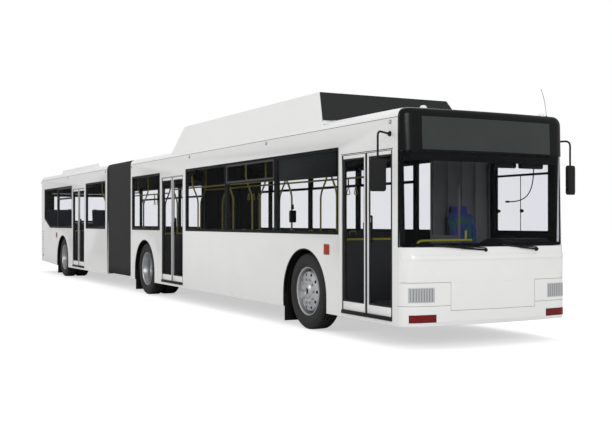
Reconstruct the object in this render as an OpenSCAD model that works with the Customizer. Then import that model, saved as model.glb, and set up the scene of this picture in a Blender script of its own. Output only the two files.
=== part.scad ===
// Articulated low-floor city bus with a gas tank cover on its front roof.
// Millimetres. +Z is up, the front faces -Y, and -X is the kerb side with the doors.
// The origin is on the ground, at the centre of the whole bus.

/* [Overall] */
// Width over the side walls
body_width = 2500; // [2400:10:2600]
// Front of the bus to the steered axle
front_overhang = 2630; // [2500:10:2900]
// Steered axle to middle axle
wheelbase_front = 7180; // [5900:10:8700]
// Middle axle to rear axle
wheelbase_rear = 7310; // [6000:10:8800]
// Rear axle to the back of the bus
rear_overhang = 2940; // [2700:10:3600]
// Ground to the bottom of the side skirts
skirt_z = 280; // [250:5:300]
// Ground to the gutter, where the side walls end
gutter_z = 2750; // [2650:10:3300]
// Height of the rounded roof edge above the gutter
roof_rise = 115; // [80:5:140]

/* [Shell] */
// Thickness of the side walls
wall = 60; // [50:1:72]
// Thickness of the roof
roof_t = 50; // [40:1:60]
// Top of the low floor
floor_z = 362; // [355:1:370]
// Thickness of the low floor
floor_t = 70; // [50:1:80]
// Thickness of the moulded front and rear panels
panel_t = 32; // [20:1:40]
// Gap between neighbouring outer panels
shut_line = 4; // [3:0.5:6]

/* [Front] */
// Radius of the front corners in plan
front_corner_r = 176; // [172:2:300]
// Radius of the bowed front face in plan
front_bow_r = 8170; // [6000:10:12000]
// Bottom of the windscreen
belt_z = 1210; // [1150:5:1260]
// Top of the windscreen
screen_top_z = 2350; // [2250:5:2400]
// Height of the long joint across the front
mask_joint_z = 790; // [760:5:820]
// Top of the corner bumpers
bumper_top_z = 515; // [490:5:540]
// Bottom of the service hatch
hatch_bottom_z = 455; // [420:5:480]
// Half width of the service hatch
hatch_half = 642; // [500:2:700]
// Thickness of the windscreen
screen_t = 10; // [6:1:14]

/* [Windows] */
// Bottom of the side windows
sill_z = 1340; // [1280:5:1400]
// Top of the side windows
window_top_z = 2487; // [2440:5:2530]
// Thickness of the side glass
glass_t = 8; // [5:1:10]
// Width of a post between two panes
post_w = 90; // [60:5:130]
// Glass edge that is bonded over the wall
bond_w = 22; // [15:1:30]

/* [Doors] */
// Width of each doorway
door_w = 1200; // [1050:10:1300]
// Top of the doorways
door_top_z = 2370; // [2300:5:2420]
// Front of the bus to the first doorway
door_1_start = 367; // [350:1:450]
// Middle of the second doorway ahead of the middle axle
door_2_ahead = 1695; // [1500:5:1900]
// Middle of the third doorway ahead of the rear axle
door_3_ahead = 1750; // [1550:5:1900]
// Thickness of a door leaf
leaf_t = 34; // [28:1:40]
// Gap around each door leaf
leaf_gap = 6; // [5:0.5:8]

/* [Joint] */
// Middle axle to the turntable pivot
pivot_behind_axle = 1895; // [1700:5:2200]
// Length of the folding bellows
bellows_len = 1870; // [1700:10:2100]
// Radius of the turntable pin
pivot_pin_r = 60; // [50:1:80]
// Radius of the turning walkway plate
platform_r = 640; // [560:5:680]

/* [Wheels] */
// Outside diameter of a tyre
tyre_d = 1070; // [1000:5:1085]
// Width of a tyre
tyre_w = 290; // [260:5:300]
// Diameter of the wheel rim
rim_d = 680; // [600:5:700]
// Middle of an outer tyre inside the body side
tyre_inset = 185; // [180:1:200]
// Middle of an inner twin tyre from the outer one
twin_pitch = 322; // [310:1:340]
// Radius of a wheel arch
arch_r = 650; // [630:5:680]
// Height of a wheel arch above the ground
arch_top_z = 1137; // [1125:1:1160]
// King pin inside the middle of the front tyre
king_pin_inset = 90; // [85:1:100]

/* [Roof cover] */
// Front of the bus to the front of the tank cover
cover_start = 2187; // [2000:10:2600]
// Length of the flat top of the tank cover
cover_len = 5262; // [4200:10:6400]
// Length of the sloping tail of the tank cover
cover_tail = 700; // [500:10:900]
// Height of the tank cover above the roof
cover_rise = 415; // [340:5:500]
// Thickness of the tank cover
cover_t = 30; // [20:1:40]

/* [Hidden] */
$fn = 64;

// Gap between solids that sit on each other without being one piece
seat_gap = 0.3;
// Stations along the bus, measured back from its front
axle_1 = front_overhang;
axle_2 = axle_1 + wheelbase_front;
axle_3 = axle_2 + wheelbase_rear;
bus_len = axle_3 + rear_overhang;
pivot = axle_2 + pivot_behind_axle;
front_end = pivot - bellows_len / 2;
rear_start = pivot + bellows_len / 2;
half_w = body_width / 2;
inner_half = half_w - wall;
axle_z = tyre_d / 2;
tyre_r = tyre_d / 2;
rim_r = rim_d / 2;
floor_bottom = floor_z - floor_t;
roof_z = gutter_z + roof_rise;
ceiling_z = roof_z - roof_t;
arch_centre_z = arch_top_z - arch_r;

door_2_start = axle_2 - door_2_ahead - door_w / 2;
door_3_start = axle_3 - door_3_ahead - door_w / 2;

// Window bands: first and last station of each
pillar = 84;
kerb_band_1 = [door_1_start + door_w + pillar, door_2_start - 140];
kerb_band_2 = [door_2_start + door_w + pillar + 30, front_end - 84];
kerb_band_3 = [rear_start + 150, door_3_start - 150];
kerb_band_4 = [door_3_start + door_w + pillar + 20, bus_len - 590];
driver_window = [door_1_start, door_1_start + door_w - 57];
driver_band_1 = [kerb_band_1[0], kerb_band_2[1]];
driver_band_2 = [kerb_band_3[0], kerb_band_4[1]];

// Rear end
rear_corner_r = 200;
rear_bow_r = 16000;
rear_skirt_z = 350;
rear_window_half = 900;
rear_window_z = [1480, 2380];
flap_half = 860;
flap_z = [520, 1240];
deck_z = 900;
deck_start = axle_3 + 760;

function st(s) = s - bus_len / 2;
function row_pitch(a, b, n) = (b - a) / n;

// ---- curved ends -------------------------------------------------------

function bow_angle(half, bow, r) = asin((half - r) / (bow - r));
function corner_depth(half, bow, r) = bow - (bow - r) * cos(bow_angle(half, bow, r));
front_depth = corner_depth(half_w, front_bow_r, front_corner_r);
rear_depth = corner_depth(half_w, rear_bow_r, rear_corner_r);

// Setback of the front face at a height: a belt ledge, then a raked screen
function front_lean(z) = lookup(z, [
  [skirt_z, 12], [skirt_z + 50, 0], [belt_z - 130, 0], [belt_z - 90, 16],
  [belt_z, 20], [screen_top_z, 82], [gutter_z, 104], [roof_z, 110]
]);

// Plan outline of a bowed end, from the kerb side round to the driver's side
function end_outline(half, bow, r, inset, lean) =
  let (
    a = bow_angle(half, bow, r),
    depth = corner_depth(half, bow, r),
    keep = (depth - lean) / depth,
    corner = [for (i = [0:8]) 180 + (90 - a) * i / 8],
    front = [for (i = [1:11]) 270 - a + 2 * a * i / 12],
    far = [for (i = [0:8]) 270 + a + (90 - a) * i / 8]
  )
  concat(
    [for (p = corner) [-(half - r) + (r - inset) * cos(p), depth + (r - inset) * sin(p)]],
    [for (p = front) [(bow - inset) * cos(p), bow + (bow - inset) * sin(p)]],
    [for (p = far) [half - r + (r - inset) * cos(p), depth + (r - inset) * sin(p)]]
  ) * [[1, 0], [0, keep]] + [for (i = [0:28]) [0, depth * (1 - keep)]];

// Two triangles that close a cross-section between its outer and inner rows
function cap_pair(i, n) = [[i, i + 1, n - 2 - i], [i, n - 2 - i, n - 1 - i]];

// Closed cross-sections joined one after the other
module loft(sections) {
  n = len(sections[0]);
  m = len(sections);
  polyhedron(
    points = [for (s = sections) each s],
    faces = concat(
      [for (j = [0:m - 2], i = [0:n - 1]) [j * n + i, j * n + (i + 1) % n, (j + 1) * n + (i + 1) % n]],
      [for (j = [0:m - 2], i = [0:n - 1]) [j * n + i, (j + 1) * n + (i + 1) % n, (j + 1) * n + i]],
      [for (i = [0:n / 2 - 2], q = cap_pair(i, n)) [q[2], q[1], q[0]]],
      [for (i = [0:n / 2 - 2], q = cap_pair(i, n)) [for (k = q) (m - 1) * n + k]]
    ),
    convexity = 6
  );
}

// Shell of a curved end between heights; each row is [height, setback, inset]
module end_shell(half, bow, r, rows, t) {
  outer = [for (w = rows) end_outline(half, bow, r, w[2], w[1])];
  inner = [for (w = rows) end_outline(half, bow, r, w[2] + t, w[1])];
  m = len(rows);
  loft([
    for (j = [0:28]) concat(
      [for (i = [0:m - 1]) [outer[i][j][0], outer[i][j][1], rows[i][0]]],
      [for (i = [m - 1:-1:0]) [inner[i][j][0], inner[i][j][1], rows[i][0]]]
    )
  ]);
}

module front_shell(heights, t, inset = 0) {
  rows = [for (z = heights) [z, front_lean(z), inset]];
  translate([0, st(0), 0]) end_shell(half_w, front_bow_r, front_corner_r, rows, t);
}

module rear_shell(heights, t, inset = 0) {
  rows = [for (z = heights) [z, 0, inset]];
  translate([0, st(bus_len), 0]) mirror([0, 1, 0])
    end_shell(half_w, rear_bow_r, rear_corner_r, rows, t);
}

// Rounded top of an end, closed by a flat plate
function edge_rows(lean) = [
  for (a = [0:15:90]) [gutter_z + roof_rise * sin(a), lean, roof_rise * (1 - cos(a))]
];

module end_crown(half, bow, r, lean) {
  end_shell(half, bow, r, edge_rows(lean), roof_t);
  translate([0, 0, ceiling_z]) linear_extrude(roof_t)
    polygon(end_outline(half, bow, r, roof_rise + 5, lean));
}

// ---- side walls --------------------------------------------------------

module rounded_rect(a, b, r) {
  translate([a[0] + r, a[1]]) square([b[0] - a[0] - 2 * r, b[1] - a[1]]);
  translate([a[0], a[1] + r]) square([b[0] - a[0], b[1] - a[1] - 2 * r]);
  for (x = [a[0] + r, b[0] - r], y = [a[1] + r, b[1] - r]) translate([x, y]) circle(r);
}

// Profile in length and height, made into a panel that reaches in from the body side
module side_panel(side, depth, from = 0) {
  x = side < 0 ? -half_w + from : half_w - from - depth;
  translate([x, 0, 0]) rotate([90, 0, 90]) linear_extrude(depth) children();
}

module arch_profile(station, r) {
  translate([st(station), arch_centre_z]) circle(r);
  translate([st(station) - r, -10]) square([2 * r, arch_centre_z + 10]);
}

module band_profile(band, grow = 0) {
  translate([st(band[0]) - grow, sill_z - grow])
    square([band[1] - band[0] + 2 * grow, window_top_z - sill_z + 2 * grow]);
}

// The rearmost kerb-side window has its lower rear corner cut off
module tail_cut_off(band, grow = 0) {
  translate([st(band[1]) + grow, sill_z - grow])
    polygon([[1, -1], [1, 270 - grow], [-760 - 2 * grow, -1]]);
}

// One hole per pane behind the glass of a band
module pane_holes(band, n) {
  w = row_pitch(band[0], band[1], n);
  for (i = [0:n - 1]) {
    a = band[0] + i * w + (i == 0 ? bond_w : post_w / 2);
    b = band[0] + (i + 1) * w - (i == n - 1 ? bond_w : post_w / 2);
    rounded_rect([st(a), sill_z + bond_w], [st(b), window_top_z - bond_w], 25);
  }
}

module pane_set(band, n) {
  w = row_pitch(band[0], band[1], n);
  for (i = [0:n - 1])
    translate([st(band[0] + i * w) + 3, sill_z + 3]) square([w - 6, window_top_z - sill_z - 6]);
}

module doorway(start) {
  translate([st(start), floor_z]) square([door_w, door_top_z - floor_z]);
}

// Door pins turn in bores above and below the doorway, close to its two edges
pin_r = 8;
pin_clear = 0.1;
hinge_in = leaf_gap + 14;
leaf_face = 4;
hinge_x = -half_w + leaf_face + leaf_t + 10;

module door_bores(start) {
  for (y = [start + hinge_in, start + door_w - hinge_in], z = [floor_z - 25, door_top_z])
    translate([hinge_x, st(y), z]) cylinder(h = 25, r = pin_r + pin_clear);
}

// ---- front section -----------------------------------------------------

// Hole in the floor's front edge that takes the pin of a tow bar
tow_station = 240;
tow_pin_r = 20;

module front_floor() {
  color("#3a3c3e") {
    difference() {
      union() {
        translate([-inner_half, st(front_depth), floor_bottom])
          cube([2 * inner_half, front_end - front_depth, floor_t]);
        translate([-920, st(140), floor_bottom]) cube([1840, front_depth - 140, floor_t]);
      }
      for (s = [-1, 1]) {
        box_cut(s, axle_1, front_box_x);
        box_cut(s, axle_2, twin_box_x);
      }
      translate([0, st(tow_station), floor_bottom - 1]) cylinder(h = floor_t + 2, r = tow_pin_r);
    }
    // Bulkhead behind the mask, and the driver's raised platform
    translate([-920, st(150), floor_z]) cube([1840, 20, belt_z - 60 - floor_z]);
    translate([180, st(480), floor_z]) cube([inner_half - 180, axle_1 - arch_r - 12 - 480, 198]);
  }
}

front_box_x = 535;
twin_box_x = 548;
box_t = 10;
flap_t = 8;

module box_cut(s, station, box_x) {
  translate([s < 0 ? -inner_half - 1 : box_x, st(station) - arch_r - box_t, floor_bottom - 1])
    cube([inner_half - box_x + 1, 2 * (arch_r + box_t), floor_t + 2]);
}

// A wheel box with its arched top, and the flap that hangs behind the tyre
module wheel_box(s, station, box_x) {
  depth = inner_half - box_x;
  mirror([s < 0 ? 1 : 0, 0, 0]) {
    translate([box_x, 0, 0]) rotate([90, 0, 90]) linear_extrude(depth)
      difference() {
        intersection() {
          arch_profile(station, arch_r + box_t);
          translate([st(station) - 1000, floor_bottom]) square([2000, 2000]);
        }
        arch_profile(station, arch_r);
      }
    translate([box_x, 0, 0]) rotate([90, 0, 90]) linear_extrude(box_t)
      intersection() {
        arch_profile(station, arch_r + 1);
        translate([st(station) - 1000, floor_bottom]) square([2000, 2000]);
      }
    translate([inner_half - 300, st(station) + arch_r - flap_t, 65])
      cube([340, flap_t, arch_centre_z - 67]);
  }
}

module front_wheel_boxes() {
  color("#202224") for (s = [-1, 1]) {
    wheel_box(s, axle_1, front_box_x);
    wheel_box(s, axle_2, twin_box_x);
  }
}

module rear_wheel_boxes() {
  color("#202224") for (s = [-1, 1]) wheel_box(s, axle_3, twin_box_x);
}

module wall_outline(a, b, bottom) {
  translate([st(a), bottom]) square([b - a, gutter_z - bottom]);
}

module front_kerb_wall() {
  color("#e6e6e6") difference() {
    side_panel(-1, wall) difference() {
      wall_outline(front_depth + seat_gap, front_end, skirt_z);
      for (a = [axle_1, axle_2]) arch_profile(a, arch_r);
      doorway(door_1_start);
      doorway(door_2_start);
      pane_holes(kerb_band_1, 3);
      pane_holes(kerb_band_2, 1);
    }
    side_panel(-1, glass_t + seat_gap + 1, -1) {
      band_profile(kerb_band_1);
      band_profile(kerb_band_2);
    }
    door_bores(door_1_start);
    door_bores(door_2_start);
  }
}

module front_driver_wall() {
  color("#e6e6e6") difference() {
    side_panel(1, wall) difference() {
      wall_outline(front_depth + seat_gap, front_end, skirt_z);
      for (a = [axle_1, axle_2]) arch_profile(a, arch_r);
      pane_holes(driver_window, 1);
      pane_holes(driver_band_1, 5);
    }
    side_panel(1, glass_t + seat_gap + 1, -1) {
      band_profile(driver_window);
      band_profile(driver_band_1);
    }
  }
}

module roof_profile() {
  difference() {
    roof_solid(half_w, roof_rise, gutter_z);
    translate([0, -roof_t]) roof_solid(half_w - wall, roof_rise - 40, gutter_z + 40);
    translate([-half_w + wall, gutter_z - 60]) square([2 * inner_half, 60 + 25]);
  }
}

module roof_solid(half, r, z) {
  translate([-half + r, z]) square([2 * (half - r), r]);
  for (s = [-1, 1]) intersection() {
    translate([s * (half - r), z]) circle(r);
    translate([-half, z]) square([2 * half, r + 1]);
  }
}

module roof(a, b) {
  color("#ececec") translate([0, st(b), 0]) rotate([90, 0, 0]) linear_extrude(b - a) roof_profile();
}

module front_roof() {
  roof(front_depth, front_end);
}

lamp_z = [565, 728];
flap_shell_t = panel_t - 4;
lamp_x = [880, 1178];

module lamp_boxes(grow = 0) {
  for (s = [-1, 1])
    translate([s < 0 ? -lamp_x[1] - grow : lamp_x[0] - grow, st(0) - 50, lamp_z[0] - grow])
      cube([lamp_x[1] - lamp_x[0] + 2 * grow, 350, lamp_z[1] - lamp_z[0] + 2 * grow]);
}

module front_mask() {
  top = belt_z - shut_line / 2;
  color("#e8e8e8") difference() {
    front_shell([bumper_top_z + shut_line, belt_z - 130, belt_z - 90, top], panel_t);
    translate([-hatch_half - shut_line, st(-50), bumper_top_z - 50])
      cube([2 * (hatch_half + shut_line), 250, mask_joint_z - bumper_top_z + 50 + seat_gap]);
    lamp_boxes(2);
  }
}

module headlights() {
  color("#b9bcbe") intersection() {
    front_shell([bumper_top_z + shut_line, belt_z - 130], panel_t - 8, 2);
    lamp_boxes(1.6);
  }
}

module front_hatch() {
  color("#e8e8e8") intersection() {
    front_shell([hatch_bottom_z + shut_line, mask_joint_z], flap_shell_t);
    translate([-hatch_half, st(-50), 0]) cube([2 * hatch_half, 250, 2000]);
  }
}

module front_bumper() {
  color("#e8e8e8") difference() {
    front_shell([skirt_z, skirt_z + 50, bumper_top_z], panel_t);
    translate([-hatch_half - shut_line, st(-50), hatch_bottom_z])
      cube([2 * (hatch_half + shut_line), 250, 500]);
  }
}

module windscreen() {
  color("#4a5254", 0.5)
    front_shell([belt_z + shut_line / 2, screen_top_z - shut_line / 2], screen_t, 2);
}

module front_header() {
  color("#26282a") {
    front_shell([screen_top_z + shut_line / 2, gutter_z], panel_t);
    translate([0, st(0), 0]) end_crown(half_w, front_bow_r, front_corner_r, front_lean(gutter_z));
  }
}

// Wiper pivots on the mask, with arms that reach to blades low on the screen
wiper_x = [-100, 900];
wiper_z = belt_z - 52;
wiper_reach = 480;
pivot_r = 18;
wiper_out = 11;
arm_r = 6;
blade_z = belt_z + 38;
blade_half = 330;
blade_h = 16;

function bow_setback(x) = front_bow_r - sqrt(pow(front_bow_r, 2) - x * x);
function face_keep(z) = 1 - front_lean(z) / front_depth;
function face_at(x, z) = st(bow_setback(x) * face_keep(z) + front_lean(z)) - seat_gap;

module wiper(x) {
  slope = 0.045;
  foot = face_at(x, wiper_z) - pivot_r * norm([x / front_bow_r, slope]);
  tip_x = x - wiper_reach;
  tip = face_at(tip_x, blade_z) - slope * blade_h / 2;
  way = [tip_x - x, tip - foot, blade_z - wiper_z];
  translate([x, foot, wiper_z]) rotate([90, 0, 0]) cylinder(h = 15, r = pivot_r);
  translate([x, foot - wiper_out, wiper_z])
    rotate([0, acos(way[2] / norm(way)), atan2(way[1], way[0])]) cylinder(h = norm(way), r = arm_r);
  translate([tip_x, tip, blade_z]) rotate([0, 0, atan(tip_x / front_bow_r)])
    translate([-blade_half, -wiper_out, -blade_h / 2]) cube([2 * blade_half, wiper_out, blade_h]);
}

module wipers() {
  color("#141516") for (x = wiper_x) wiper(x);
}

// Mirror arms leave the front of the side walls and carry a housing on each side
mirror_x = half_w + 245;
mirror_z = [1880, 2250];
mirror_station = 416;
mirror_ahead = 116;

module mirrors() {
  arm_z = 2560;
  tube_r = 14;
  reach = mirror_x - half_w;
  color("#1c1d1f") for (s = [-1, 1]) mirror([s < 0 ? 1 : 0, 0, 0])
    translate([half_w, st(mirror_station), 0]) {
      translate([0, 0, arm_z]) rotate([0, 90, 0]) cylinder(h = 22, r = 34);
      translate([10, 0, arm_z]) rotate([0, 90, -atan2(mirror_ahead, reach - 10)])
        cylinder(h = norm([reach - 10, mirror_ahead]), r = tube_r);
      translate([reach, -mirror_ahead, mirror_z[1] - 20])
        cylinder(h = arm_z - mirror_z[1] + 20 + tube_r, r = tube_r + 3);
      translate([reach, -mirror_ahead, mirror_z[0]]) rotate([0, 0, 15])
        translate([-100, -45, 0]) cube([200, 90, mirror_z[1] - mirror_z[0]]);
    }
}

// The tank cover stands up from the gutter on the kerb side and slopes on the far side
cover_side_x = half_w - 10;
cover_top_z = roof_z + cover_rise;
cover_top_x = 880;
cover_foot_x = 1190;

module cover_section(t) {
  polygon([
    [-cover_side_x + t, 2000], [-cover_side_x + t, cover_top_z - t],
    [cover_top_x - 0.4 * t, cover_top_z - t], [cover_foot_x - t, roof_z], [cover_foot_x - t, 2000]
  ]);
}

module cover_block(t) {
  back = cover_start + cover_len;
  intersection() {
    translate([0, st(back + cover_tail), 0]) rotate([90, 0, 0])
      linear_extrude(cover_len + cover_tail + 100) cover_section(t);
    rotate([90, 0, 90]) translate([0, 0, -half_w]) linear_extrude(body_width) polygon([
      [st(cover_start) + t, cover_top_z - t], [st(back) - t / 3, cover_top_z - t],
      [st(back + cover_tail) - t, roof_z - 20], [st(back + cover_tail) - t, 2000],
      [st(cover_start - 85) + t, 2000], [st(cover_start - 85) + t, roof_z]
    ]);
  }
}

module roof_tank_cover() {
  color("#ededed") difference() {
    cover_block(0);
    cover_block(cover_t);
    // The foot follows the top of the roof
    translate([0, st(bus_len), 0]) rotate([90, 0, 0]) linear_extrude(bus_len) union() {
      roof_solid(half_w + seat_gap, roof_rise + seat_gap, gutter_z);
      translate([-half_w - 10, 1900]) square([body_width + 20, gutter_z + 1 - 1900]);
    }
  }
}

module front_side_glass() {
  color("#4d5558", 0.5) {
    side_panel(-1, glass_t) {
      pane_set(kerb_band_1, 3);
      pane_set(kerb_band_2, 1);
    }
    side_panel(1, glass_t) {
      pane_set(driver_window, 1);
      pane_set(driver_band_1, 5);
    }
  }
}

// ---- driver's place ----------------------------------------------------

seat_x = 590;
seat_station = 1190;
platform_z = floor_z + 198;
dash_z = belt_z + 25;
dash_y = [170, 450];

// Frame of the steering column: its own Z points up at the driver
column_tilt = 35;

module column() {
  translate([seat_x, st(480), 1010]) rotate([-column_tilt, 0, 0]) children();
}

module dashboard() {
  depth = dash_y[1] - dash_y[0];
  color("#2b2d2f") difference() {
    union() {
      translate([-300, st(dash_y[0]), 900]) cube([1120, depth, dash_z - 900]);
      translate([-300, st(dash_y[0]), floor_z]) cube([60, depth, 540]);
      translate([760, st(dash_y[0] + 110), 900])
        cube([inner_half - 760, depth - 110, dash_z - 900]);
      // Hood over the instruments
      translate([seat_x, st(dash_y[0] + 180), 0]) rotate([90, 0, 0]) linear_extrude(160) intersection() {
        translate([0, dash_z - 425]) circle(500);
        translate([-400, dash_z - 50]) square([800, 200]);
      }
      // Steering column
      translate([seat_x - 170, st(dash_y[0]), 780]) cube([340, depth, 180]);
      column() translate([0, 0, -120]) cylinder(h = 300, r = 38);
    }
    column() translate([0, 0, 120]) cylinder(h = 100, r = 14 + pin_clear);
  }
}

module steering_wheel() {
  color("#17181a") column() {
    translate([0, 0, 130]) cylinder(h = 100, r = 14);
    translate([0, 0, 186]) cylinder(h = 44, r = 60);
    translate([0, 0, 205]) rotate_extrude() translate([225, 0]) circle(15);
    for (a = [30, 150, 270]) rotate([0, 0, a]) translate([0, -16, 196]) cube([222, 32, 16]);
  }
}

module driver_seat() {
  color("#2b3566") translate([seat_x, st(seat_station), 0]) {
    translate([0, 0, platform_z]) cylinder(h = 40, r = 190);
    translate([0, 0, platform_z]) cylinder(h = 370, r = 70);
    translate([-240, -290, platform_z + 360]) cube([480, 500, 110]);
    translate([0, 150, platform_z + 440]) rotate([-9, 0, 0]) {
      translate([-225, 0, 0]) cube([450, 105, 610]);
      translate([-140, 12, 600]) cube([280, 80, 150]);
    }
  }
}

module driver_partition() {
  y = door_1_start + door_w + 30;
  color("#2e3032") {
    translate([190, st(y), platform_z]) cube([inner_half - 190, 25, 2320 - platform_z]);
    translate([190, st(y - 620), platform_z]) cube([25, 622, 1330 - platform_z]);
    translate([190, st(y - 620), platform_z]) cube([25, 30, 2000 - platform_z]);
  }
}

// ---- passengers --------------------------------------------------------

seat_w = 880;
seat_high = 440;

// A double seat of a pan and a back, on a wall bracket and an aisle-side leg
module double_seat(s, station, base) {
  pan_z = seat_high - 60;
  leg_top = pan_z - seat_gap;
  mirror([s < 0 ? 1 : 0, 0, 0]) translate([inner_half - 12 - seat_w, st(station), base]) {
    rotate([90, 0, 90]) linear_extrude(seat_w) {
      polygon([
        [-420, pan_z], [-420, seat_high], [-380, seat_high + 22], [-60, seat_high + 5], [10, pan_z]
      ]);
      translate([0, seat_gap]) polygon([
        [-60, seat_high + 5], [40, seat_high + 540], [95, seat_high + 560], [85, seat_high + 480],
        [10, pan_z]
      ]);
    }
    translate([60, -270, 0]) cube([40, 120, leg_top]);
    translate([seat_w - 30, -300, leg_top - 160]) cube([42, 180, 160]);
  }
}

front_driver_rows = [for (i = [0:6]) axle_1 + 1360 + i * (wheelbase_front - 2100) / 7];
front_kerb_rows = [for (i = [0:3]) axle_1 + 1360 + i * (wheelbase_front - 4620) / 3];
rear_driver_rows = [for (i = [0:3]) rear_start + 700 + i * (wheelbase_rear - 4950) / 3];
rear_kerb_rows = [for (i = [0:1]) rear_start + 700 + i * (wheelbase_rear - 6510)];

module front_passenger_seats() {
  color("#32343c") {
    for (y = front_driver_rows) double_seat(1, y, floor_z);
    for (y = front_kerb_rows) double_seat(-1, y, floor_z);
  }
}

module rear_passenger_seats() {
  color("#32343c") {
    for (y = rear_driver_rows) double_seat(1, y, floor_z);
    for (y = rear_kerb_rows) double_seat(-1, y, floor_z);
    // Rear bench on the deck over the engine
    for (s = [-1, 1]) double_seat(s, bus_len - 260, deck_z);
  }
}

// Poles between floor and ceiling, and a rail along each side of the aisle
rail_r = 16;
rail_x = 275;
rail_z = 2220;

module pole(x, station) {
  translate([x, st(station), floor_z]) cylinder(h = ceiling_z - floor_z, r = rail_r);
}

module aisle_rail(x, a, b) {
  translate([x, st(b), rail_z]) rotate([90, 0, 0]) cylinder(h = b - a, r = rail_r);
}

front_poles = [
  axle_1 + arch_r + 130, axle_1 + 2300, axle_1 + wheelbase_front / 2 + 300,
  door_2_start - 120, axle_2 - 560, front_end - 260
];
rear_poles = [rear_start + 260, door_3_start - 140, door_3_start + door_w + 160];

module front_handrails() {
  color("#8f8a2c") for (s = [-1, 1]) {
    for (y = front_poles) pole(s * rail_x, y);
    aisle_rail(s * rail_x, front_poles[0], front_end - 200);
  }
}

module rear_handrails() {
  color("#8f8a2c") for (s = [-1, 1]) {
    for (y = rear_poles) pole(s * rail_x, y);
    aisle_rail(s * rail_x, rear_start + 200, rear_poles[2]);
  }
}

// ---- axles and wheels --------------------------------------------------

tyre_x = half_w - tyre_inset;
king_x = tyre_x - king_pin_inset;
king_r = 20;
eye_r = 48;
eye_h = 130;
spindle_r = 38;
spindle_clear = 0.1;
knuckle_wall = 22;

module front_axle() {
  color("#3b3d3f") difference() {
    union() {
      translate([0, st(axle_1) + 48, 0]) rotate([90, 0, 0]) linear_extrude(96) polygon([
        [-620, 150], [620, 150], [king_x - 130, axle_z - 62], [king_x, axle_z - 62],
        [king_x, axle_z + 62], [king_x - 180, axle_z + 62], [545, 250], [-545, 250],
        [-king_x + 180, axle_z + 62], [-king_x, axle_z + 62], [-king_x, axle_z - 62],
        [-king_x + 130, axle_z - 62]
      ]);
      for (s = [-1, 1]) {
        translate([s * king_x, st(axle_1), axle_z - eye_h / 2]) cylinder(h = eye_h, r = eye_r);
        translate([s * 420, st(axle_1), 240]) cylinder(h = floor_bottom - 240, r = 45);
      }
    }
    for (s = [-1, 1])
      translate([s * king_x, st(axle_1), 0]) cylinder(h = 2000, r = king_r + pin_clear);
  }
}

// King pin, yoke and spindle that carry one front wheel
module knuckle(s) {
  arm = 28;
  gap = 5;
  reach = eye_r + gap;
  top = eye_h / 2 + gap;
  color("#4a4c4e") mirror([s < 0 ? 1 : 0, 0, 0]) translate([king_x, st(axle_1), axle_z]) {
    translate([0, 0, -top - arm]) cylinder(h = 2 * (top + arm), r = king_r);
    for (z = [-top - arm, top]) {
      translate([0, 0, z]) cylinder(h = arm, r = eye_r);
      translate([0, -eye_r, z]) cube([reach + knuckle_wall, 2 * eye_r, arm]);
    }
    translate([reach, -eye_r, -top - arm]) cube([knuckle_wall, 2 * eye_r, 2 * (top + arm)]);
    translate([reach, 0, 0]) rotate([0, 90, 0]) cylinder(h = 180 - reach, r = spindle_r);
  }
}

module kerb_knuckle() {
  knuckle(-1);
}

module driver_knuckle() {
  knuckle(1);
}

bead_w = tyre_w * 0.78;

// Tyre turned about X, with rounded shoulders and bulging sides
module tyre() {
  rotate([0, 90, 0]) rotate_extrude($fn = 96) polygon([
    [rim_r + seat_gap, -bead_w / 2], [rim_r + 14, -bead_w / 2 - 6],
    [rim_r + 50, -tyre_w / 2 + 9], [rim_r + 95, -tyre_w / 2],
    [tyre_r - 75, -tyre_w / 2 + 2], [tyre_r - 32, -tyre_w / 2 + 12],
    [tyre_r - 10, -tyre_w / 2 + 26], [tyre_r, -tyre_w / 2 + 48],
    [tyre_r, tyre_w / 2 - 48], [tyre_r - 10, tyre_w / 2 - 26],
    [tyre_r - 32, tyre_w / 2 - 12], [tyre_r - 75, tyre_w / 2 - 2],
    [rim_r + 95, tyre_w / 2], [rim_r + 50, tyre_w / 2 - 9],
    [rim_r + 14, bead_w / 2 + 6], [rim_r + seat_gap, bead_w / 2]
  ]);
}

// Steel rim with its disc at disc_x from the middle of the tyre
module rim(disc_x) {
  rotate([0, 90, 0]) rotate_extrude($fn = 96) {
    translate([rim_r - 12, -bead_w / 2 - 4]) square([12, bead_w + 8]);
    translate([60, disc_x - 7]) square([rim_r - 66, 14]);
  }
}

hand_holes = 10;
hand_hole_r = 24;

module disc_holes(disc_x) {
  for (i = [0:hand_holes - 1])
    rotate([i * 360 / hand_holes, 0, 0]) translate([disc_x - 20, 0, rim_r * 0.77])
      rotate([0, 90, 0]) cylinder(h = 40, r = hand_hole_r);
}

module front_wheel(s) {
  disc_x = 62;
  mirror([s < 0 ? 1 : 0, 0, 0]) translate([tyre_x, st(axle_1), axle_z]) {
    color("#2a2826") tyre();
    color("#a9abad") difference() {
      union() {
        rim(disc_x);
        translate([-5, 0, 0]) rotate([0, 90, 0]) cylinder(h = 122, r = 105);
      }
      disc_holes(disc_x);
      translate([-20, 0, 0]) rotate([0, 90, 0]) cylinder(h = 120, r = spindle_r + spindle_clear);
    }
  }
}

module front_kerb_wheel() {
  front_wheel(-1);
}

module front_driver_wheel() {
  front_wheel(1);
}

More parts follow.
